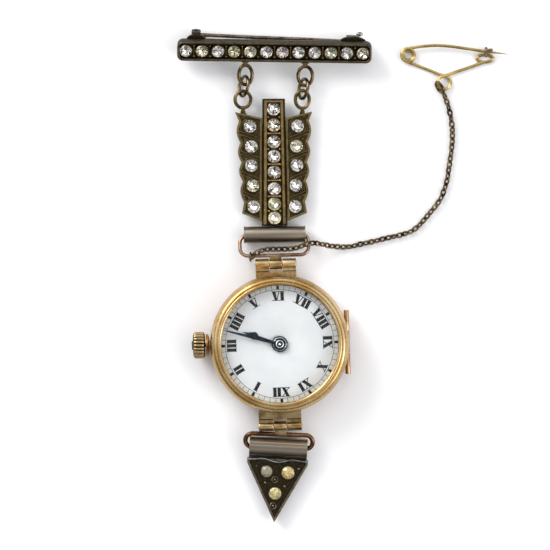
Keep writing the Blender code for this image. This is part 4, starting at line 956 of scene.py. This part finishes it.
def sunk_plate(outline, low, high, rim, depth):
    """A plate whose face is sunk inside a rim."""
    bm = prism(outline, low, high)
    top = [face for face in bm.faces if face.normal.z > 0.9]
    bmesh.ops.inset_region(bm, faces=top, thickness=rim, use_even_offset=True)
    bmesh.ops.inset_region(bm, faces=top, thickness=0.06, depth=-depth, use_even_offset=True)
    return bm


def wing_relief(side):
    """Grooves between two ribs from the edge down to the column, ribs along the edge, rims and grains."""
    ground = WING_Z[1] - PLATE_SINK
    made = []

    def rib(size, *points):
        made.append(wire([(side * x, y, ground) for x, y in points], size, 10, flat=1.5, up=(0, 0, 1)))

    def grain(size, x, y):
        made.append(ball(size, (side * x, y, ground), 0.9))

    for y in GROOVES:
        for shift in (0.33, -0.33):
            rib(0.15, (notch_x(y) + 0.1, y + shift), (column_half(y) + 0.1, y + shift - GROOVE_FALL))
    for groove, notch in zip((9.4, *GROOVES), NOTCHES):
        rib(0.12, (notch_x(groove) - 0.1, groove - 0.5), (notch_x(notch) - 0.5, notch))
        grain(0.2, notch_x(notch) - 1.0, notch + 0.8)
    for groove, notch in zip((*GROOVES, -10.2), NOTCHES):
        rib(0.12, (notch_x(notch) - 0.5, notch), (notch_x(groove) - 0.1, groove + 0.45))
        rib(0.08, (notch_x(notch) - 0.7, notch), (notch_x(notch) - 1.05, groove + 0.75))
    for x, y in SIDE_STONES:
        made.append(moved(collet(STONE, ground - 0.2, WING_Z[1] + 0.05), side * x, y))
        made.append(moved(hoop(STONE + 0.38, 0.09, flat=1.5), side * x, y, ground))
        grain(0.17, column_half(y) + 0.5, y - 1.45)
    return made


def make_column():
    (low, high), (foot, head) = COLUMN_ENDS, COLUMN_Z
    levels = (
        *((0.1, foot), (0.0, foot + 0.1), (0.0, head - 0.6), (0.1, head - 0.45), (0.36, head - 0.12), (0.46, head)),
        *((0.84, head), (0.95, head - 0.08), (1.0, head - 0.25), (1.05, COLUMN_FLOOR)),
    )
    loops = []
    for inset, z in levels:
        wide, narrow = COLUMN_HALF[0] - inset, COLUMN_HALF[1] - inset
        bottom, top = low + min(inset, 0.3), high - min(inset, 0.75)
        loops.append([(-wide, bottom, z), (wide, bottom, z), (narrow, top, z), (-narrow, top, z)])
    piece(loft(loops), "column_shell", PLAQUE, "column", "plaque", "plaque_column", smooth=30)
    girdle = head - 0.25
    made = [moved(collet(STONE, COLUMN_FLOOR, girdle + 0.05), 0, y) for y in CENTRE_STONES]
    for i, (one, other) in enumerate(zip(CENTRE_STONES, CENTRE_STONES[1:])):
        y = (one + other) / 2
        made += [ball(0.26, (x, y, girdle - 0.12), 0.8) for x in (-1.2, 1.2)]
        if i in COLUMN_BARS:
            made.append(wire([(x, y, girdle - 0.14) for x in (-1.2, 1.2)], 0.2, 10))
    made += [ball(0.2, (x, high - 1.0, girdle - 0.3)) for x in (-1.2, 1.2)]
    piece(made, "column_settings", PLAQUE, "setting", "plaque")
    spots = [(0, y, girdle, STONE, tint) for y, tint in zip(CENTRE_STONES, CENTRE_TINTS)]
    spots[0] = (0, CENTRE_STONES[0], girdle, STONE * 1.08, CENTRE_TINTS[0])
    stones("column_stones", spots, PLAQUE, "plaque", "stones_centre")


def make_plaque():
    make_column()
    for side, sign in (("left", -1), ("right", 1)):
        plate = sunk_plate([(sign * x, y) for x, y in wing_outline()], *WING_Z, 0.42, PLATE_SINK)
        piece(plate, f"wing_plate_{side}", PLAQUE, "plaque", "plaque", f"wing_{side}", bevel=0.07)
        piece(wing_relief(sign), f"wing_relief_{side}", PLAQUE, "plaque", "plaque")
        place, width, height = PLAQUE_LOOPS[side]
        loop = make_loop((*place, PLAQUE_LOOP_Z), width, height, 0, -1, 1.75)
        piece(loop, f"plaque_loop_{side}", PLAQUE, "loops", "plaque", bevel=0.1)
        spots = [(sign * x, y, WING_Z[1] + 0.22, STONE, tint) for (x, y), tint in zip(SIDE_STONES, SIDE_TINTS[side])]
        stones(f"wing_stones_{side}", spots, PLAQUE, "plaque", f"stones_{side}")
    half = TUBE_HALF
    made = [along_x(pipe(1.15, 1.7, -half, half, 0.1, 96))]
    for start in (-half, half - 0.32):
        made.append(along_x(pipe(1.2, 1.75, start, start + 0.32, 0.07, 96)))
    piece(made, "hanging_tube", TUBE, "silver", "plaque", "plaque_tube", smooth=50)


# Links


def make_links():
    """The wire links, each with the hinge knuckle that is soldered to its outer run."""
    for name, where, size, look in (("upper", UPPER, UPPER_LINK, "link"), ("lower", LOWER, LOWER_LINK, "old_link")):
        half, gap, radius, corner, rise, shift = size
        path = rounded(half, gap / 2, corner, 14, middle=(shift, -gap / 2))
        loop = turned(wire(path, radius, 18, closed=True, up=(0, 0, 1)), x=-math.degrees(math.asin(rise / gap)))
        _, hinge_y, _, knuckle_radius = HINGES[name]
        x, y, z = where.inverted() @ WATCH @ Vector((HINGE_X * MM, hinge_y * MM, HINGE_Z * MM)) / MM
        run, middle = -math.sqrt(gap * gap - rise * rise), (z + rise) / 2
        tab = block((x - KNUCKLE_HALF + 0.1, y + 0.75, middle - 0.3), (x + KNUCKLE_HALF - 0.1, run, middle + 0.35))
        knuckle = along_x(pipe(HINGE_PIN + 0.05, knuckle_radius, -KNUCKLE_HALF, KNUCKLE_HALF, 0.1))
        knuckle = moved(turned(knuckle, z=math.degrees((where.inverted() @ WATCH).to_euler().z)), x, y, z)
        body = f"{name}_link"
        piece(loop, f"{name}_wire_link", where, look, body, body)
        piece([tab, knuckle], f"{name}_link_knuckle", where, "hinge", body, bevel=0.05)


# Watch


def make_lug(side, y, width, radius):
    """A plate from the band, a thin bar across it and two hinge knuckles with their tongues."""
    half, shoulder = width / 2, y - side * (radius + 0.28)
    low, high = HINGE_Z - LUG_HALF, HINGE_Z + LUG_HALF
    made = []

    def slab(left, right, start, end, foot=low, head=high):
        made.append(block((HINGE_X + left, start, foot), (HINGE_X + right, end, head)))

    slab(-half, half, side * LUG_ROOT, shoulder)
    slab(-half + 0.15, half - 0.15, shoulder - side * 0.55, shoulder - side * 0.25, high - 0.1, high + 0.12)
    for left, right in ((-half, -KNUCKLE_HALF - 0.1), (KNUCKLE_HALF + 0.1, half)):
        slab(left, right, shoulder - side * 0.3, y - side * 0.5)
        made.append(moved(along_x(pipe(HINGE_PIN + 0.05, radius, left, right, 0.12), y, HINGE_Z), HINGE_X))
    return made


def back_knuckle(start, end):
    return along_y(pipe(0.27, 0.55, start, end, 0.08, 32), *BACK_HINGE)


def make_case():
    """The band, bored for the stem and notched for the back's knuckle, with its lugs and hinge rods."""
    foot = ((13.0, 3.3), (13.0, 2.35), (14.0, 2.35), (14.3, 2.55), (14.4, 2.95), (14.38, 3.3))
    head = ((14.38, 4.5), (14.4, 4.9), (14.3, 5.3), (14.1, 5.5), (13.0, 5.5), (13.0, 4.5))
    ring = lathe([*foot, *head], 160)
    for vert in ring.verts:
        if vert.co.x > BAND_NOTCH and abs(vert.co.y) < BACK_KNUCKLE_HALF + 0.4 and vert.co.z < 3.0:
            vert.co.x = BAND_NOTCH
    bore = []
    for face in ring.faces:
        x, y, z = face.calc_center_median()
        if x < 0 and abs(y - STEM[0]) < STEM_BORE[0] and abs(z - STEM[1]) < STEM_BORE[1]:
            bore.append(face)
    bmesh.ops.delete(ring, geom=bore, context="FACES")
    bmesh.ops.bridge_loops(ring, edges=[edge for edge in ring.edges if edge.is_boundary])
    for name, hinge in HINGES.items():
        piece(make_lug(*hinge), f"{name}_lug", WATCH, "gold" if name == "upper" else "hinge", "watch", bevel=0.06)
    piece(ring, "case_ring", WATCH, "rose", "watch", "case_band", smooth=50)
    near = BACK_KNUCKLE_HALF + 0.05
    tubes = [back_knuckle(-BACK_HINGE_HALF, -near), back_knuckle(near, BACK_HINGE_HALF)]
    piece(tubes, "back_hinge_tubes", WATCH, "rose", "watch")
    for name, (_, y, width, _) in HINGES.items():
        pin = moved(along_x(rod(HINGE_PIN, -width / 2 - 0.1, width / 2 + 0.1), y, HINGE_Z), HINGE_X)
        piece(pin, f"{name}_hinge_rod", WATCH, "gold", "watch", f"{name}_hinge_pin")


def make_bezel():
    """A raised bright ring inside, a groove, and a broad brushed shoulder outside it; and the crystal."""
    turns = [math.pi / 2 * share for share in shares(16)]
    profile = [
        *((13.1, 5.6), (14.05, 5.6), (14.2, 5.75)),
        *[(12.98 + 1.27 * math.cos(t), 6.5 + 1.86 * math.sin(t)) for t in turns],
        *((12.92, 8.3), *arc(0.5, 42, 150, 10, (12.53, 7.88))),
        *((12.1, 7.8), (12.15, 7.65), (12.15, 6.15), (13.1, 6.15)),
    ]
    piece(lathe(profile, 192), "bezel_ring", WATCH, "gold", "watch", "bezel", smooth=45)
    dome = [(0, 9.1), (2, 9.06), (4, 8.96), (6, 8.79), (8, 8.55), (10, 8.22), (11.5, 7.86)]
    rim = [(12.02, 7.68), (12.08, 7.5), (12.02, 7.32), (11.92, 7.32)]
    hollow = [(x, z - CRYSTAL_THICK) for x, z in reversed(dome)]
    shell = lathe([*dome, *rim, *hollow], 128, closed=False)
    piece(shell, "crystal_dome", WATCH, "crystal", "watch", "crystal", smooth=60)


def make_back():
    """The hinged back: a shallow dome with a flat centre, cut back for its hinge tab."""
    outside = (
        *((0, 0), (6, 0), (7.2, 0.03), (9.5, 0.28), (11, 0.6), (12.3, 0.95), (13.2, 1.38), (13.7, 1.65)),
        *((14.15, 2.0), (14.25, 2.15), (14.25, 2.3)),
    )
    inside = ((13.7, 2.3), (13.2, 1.9), (11.9, 1.35), (9.3, 0.75), (6, 0.45), (0, 0.45))
    x = BACK_HINGE[0]
    reach = BACK_KNUCKLE_HALF - 0.05
    dome = lathe([*outside, *inside], 160, closed=False)
    side = {"plane_co": (x - 0.75, 0, 0), "plane_no": (1, 0, 0), "clear_outer": True}
    bmesh.ops.bisect_plane(dome, geom=[*dome.verts, *dome.edges, *dome.faces], **side)
    bmesh.ops.edgeloop_fill(dome, edges=[edge for edge in dome.edges if edge.is_boundary])
    made = [dome, block((x - 1.1, -reach, 1.3), (x, reach, 1.95)), back_knuckle(-reach, reach)]
    piece(made, "back_cover", WATCH, "rose", "case_back", "case_back", smooth=45)


def make_crown():
    """The fluted crown with its button, and the flared tube that it closes."""
    low, high = CROWN_X
    levels = (
        *((low - 0.05, 2.05, 0.0), (low + 0.02, 2.3, 0.0), (low + 0.12, 2.52, 0.05), (low + 0.3, 2.7, 0.16)),
        *((low + 0.6, CROWN_RADIUS, 0.24), (high - 0.6, CROWN_RADIUS, 0.24), (high - 0.3, 2.7, 0.16)),
        *((high - 0.12, 2.5, 0.05), (high, 2.25, 0.0)),
    )
    count = CROWN_FLUTES * 8
    loops = []
    for x, radius, depth in levels:
        depths = [depth * (1 - abs(math.sin(math.pi * i / 8))) ** 1.5 * 1.6 for i in range(count)]
        loops.append([(x, *polar(radius - cut, 360 * i / count, STEM)) for i, cut in enumerate(depths)])
    made = [loft(loops), along_x(rod(0.95, low - 0.3, low + 0.1, 0.12), *STEM)]
    piece(made, "crown_knob", WATCH, "crown", "crown", "crown", smooth=50)
    flare = ((2.3, -15.25), (2.4, -15.15), (2.3, -14.9), (1.9, -14.66), (1.4, -14.56), (1.0, -14.55), (1.0, -13.1))
    collar = along_x(lathe([(0.55, -15.25), *flare, (0.55, -13.1)], 64), *STEM)
    piece(collar, "crown_collar", WATCH, "gold", "watch", "crown_tube", smooth=45)


def numeral(text):
    """Flat strokes of a Roman numeral, upright about x = 0: a list of outlines."""
    half = (sum(LETTERS[letter][0] for letter in text) + LETTER_GAP * (len(text) - 1)) / 2
    x = -half
    strokes = []
    for letter in text:
        width, *shapes = LETTERS[letter]
        for shape in shapes:
            strokes.append([(x + across, y) for across, y in zip(shape, (0, 0, LETTER_HEIGHT, LETTER_HEIGHT))])
        x += width + LETTER_GAP
    half += 0.1
    for y in (0, LETTER_HEIGHT - SERIF):
        strokes.append([(-half, y), (half, y), (half, y + SERIF), (-half, y + SERIF)])
    return strokes


def make_dial():
    """Enamel dial with a railway minute track and radial Roman numerals; it sits upside down in the case."""
    disc = [(0.8, 5.65), (12.7, 5.65), (12.75, 5.75), (12.7, 5.95), (12.5, DIAL_TOP), (0.9, DIAL_TOP), (0.8, 5.98)]
    piece(lathe(disc, 128), "dial_disc", WATCH, "enamel", "watch", "dial")
    low, high = DIAL_TOP - 0.005, DIAL_TOP + 0.012
    near, far = MINUTE_TRACK
    marks = [pipe(radius - 0.045, radius + 0.045, low, high, 0.002, 160) for radius in MINUTE_TRACK]
    for minute in range(60):
        wide, inset = (0.045, 0.0) if minute % 5 else (0.28, 0.08)
        tick = [(near + inset, -wide), (far - inset, -wide), (far - inset, wide), (near + inset, wide)]
        marks.append(turned(prism(tick, low, high), z=6 * minute + DIAL_TURN))
    for hour, text in enumerate(NUMERALS):
        for i, stroke in enumerate(numeral(text)):
            bm = moved(prism(stroke, low, high + 0.001 * i), 0, NUMERAL_FOOT)
            marks.append(turned(bm, z=DIAL_TURN - 180 - 30 * hour))
    piece(marks, "dial_marks", WATCH, "print", "watch", smooth=0)


def make_hands():
    """Blued hands: a tapered minute hand over a spade hour hand."""
    needle = ((0.9, 0.27), (4, 0.33), (8, 0.28), (11, 0.14), (11.95, 0.02))
    spade = ((1.55, 0.24), *arc(0.8, 160, 50, 12, (5.5, 0)), (7.0, 0.26), (8.1, 0.03))
    for name, body, angle, blade, heights, hub in (
        ("minute", "centre", MINUTE_ANGLE, needle, (6.98, 7.1), (0.36, 1.0, 6.95, 7.16, 0.06, 48)),
        ("hour", "hour", HOUR_ANGLE, spade, (6.4, 6.52), (0.5, 1.66, 6.38, 6.56, 0.05, 64)),
    ):
        outline = [*blade, *[(x, -half) for x, half in reversed(blade)]]
        made = [turned(bm, z=angle) for bm in (prism(outline, *heights), pipe(*hub))]
        piece(made, f"{name}_hand_blade", WATCH, "blued", body, f"{name}_hand", bevel=0.04)
    piece(moved(hoop(1.3, 0.07), z=6.56), "hour_hand_ring", WATCH, "bright", "hour")
    cap = ((0, 7.34), (0.12, 7.3), (0.24, 7.22), (0.33, 7.1), (0.36, 7.0), (0.36, 6.9), (0, 6.9))
    pin = [lathe(cap, 32, closed=False), moved(hoop(0.72, 0.09), z=7.13)]
    piece(pin, "hand_pin", WATCH, "bright", "centre")


# Drop


def make_drop():
    """The rolled tube with its torn lip, and the triangular plate with its stones, grains and rings."""
    half, radius = DROP_TUBE
    groove, side = DROP_GROOVE
    edge = []
    for angle in range(0, 360, 3):
        x, y = polar(radius - 0.13 * max(0.0, 1 - abs(angle - groove) / side), angle)
        edge.append((-x, y))
    roll = along_x(prism(edge, -half, half, [circle(1.25, 48)]))
    piece(roll, "drop_roll", DROP, "roll", "drop", "drop_tube", bevel=0.08, smooth=50)
    lip = []
    for share in shares(48):
        y = -2.3 - 0.4 * math.sin(math.pi * share) - 0.25 * math.cos(4 * math.pi * share)
        lip.append(((2 * share - 1) * (half - 0.1), y, 0.35))
    piece(wire(lip, 0.22, 12), "drop_lip", DROP, "nickel", "drop")
    x, shoulder = DROP_SHOULDER
    outline = [(-x, -2.24), (-x, shoulder), (0, DROP_APEX), (x, shoulder), (x, -2.24)]
    made = [moved(collet(size, -0.1, 0.32), x, y) for x, y, size, _ in DROP_STONES]
    for x, y, ringed in DROP_GRAINS:
        made.append(ball(0.3, (x, y, 0.04)))
        if ringed:
            made.append(moved(hoop(0.62, 0.11, 24, 1.5), x, y, 0.06))
    piece(sunk_plate(outline, -1.1, 0.3, 0.42, 0.3), "drop_triangle", DROP, "drop", "drop", "drop_plate", bevel=0.07)
    piece(made, "drop_settings", DROP, "drop", "drop")
    spots = [(x, y, 0.5, size, tint) for x, y, size, tint in DROP_STONES]
    stones("drop_paste", spots, DROP, "drop", "drop_stones", cloudy=True)


# Movement, floor, light


def dress_movement():
    """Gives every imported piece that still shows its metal."""
    kinds = {
        "plate": "main_plate barrel_bridge train_bridge pallet_bridge balance_cock",
        "wheel": "mainspring_barrel centre_wheel third_wheel fourth_wheel escape_wheel minute_wheel hour_wheel"
        " balance_wheel",
        "gold": "case_hinge_pin",
        "steel": "winding_stem sliding_pinion crown_wheel ratchet_wheel click setting_lever mainspring hairspring"
        " cannon_pinion pallet_fork",
    }
    for look, nodes in kinds.items():
        for node in nodes.split():
            data = frame["nodes"][node].data
            data.materials.clear()
            data.materials.append(LOOKS[look][1])


def make_stage():
    bm = bmesh.new()
    bmesh.ops.create_grid(bm, x_segments=1, y_segments=1, size=3.0)
    data = mesh_of(bm, "floor")
    data.materials.append(material("floor_paper").finish(Base_Color=(0.93, 0.93, 0.935, 1.0), Roughness=0.7))
    added("floor", data)


def make_lights():
    """A bright even room with a large soft lamp up on the left."""
    world = bpy.data.worlds.new("studio")
    bpy.context.scene.world = world
    nodes = Nodes(world, "Background", "Generated")
    ramp = nodes.add("ValToRGB", Fac=nodes.along("Z"))
    stops = ramp.color_ramp.elements
    stops[0].color, stops[1].color = SKY_ENDS
    for position, tone in SKY:
        stops.new(position).color = (tone, tone, tone * 1.02, 1)
    side = nodes.add("VectorMath", {"operation": "DOT_PRODUCT"})
    nodes.fill(side, {0: nodes.place, 1: SKY_SIDE})
    nodes.finish(Color=ramp.outputs[0], Strength=nodes.spread(side.outputs["Value"], -0.7, -0.1, 0.3, 1.2))
    for name, place, size, power in LAMPS:
        data = bpy.data.lights.new(name, "AREA")
        data.shape = "DISK"
        data.size = size
        data.energy = power
        lamp = added(name, data)
        lamp.location = place
        lamp.rotation_euler = (-Vector(place)).to_track_quat("-Z", "Y").to_euler()
    bpy.context.scene.view_settings.view_transform = "Standard"


def main():
    make_camera()
    make_chain(make_safety_pin())
    make_bar()
    make_loops_and_rings()
    make_pin_fittings()
    make_plaque()
    make_links()
    make_case()
    make_bezel()
    make_back()
    make_crown()
    make_dial()
    make_hands()
    make_drop()
    dress_movement()
    make_stage()
    make_lights()


main()
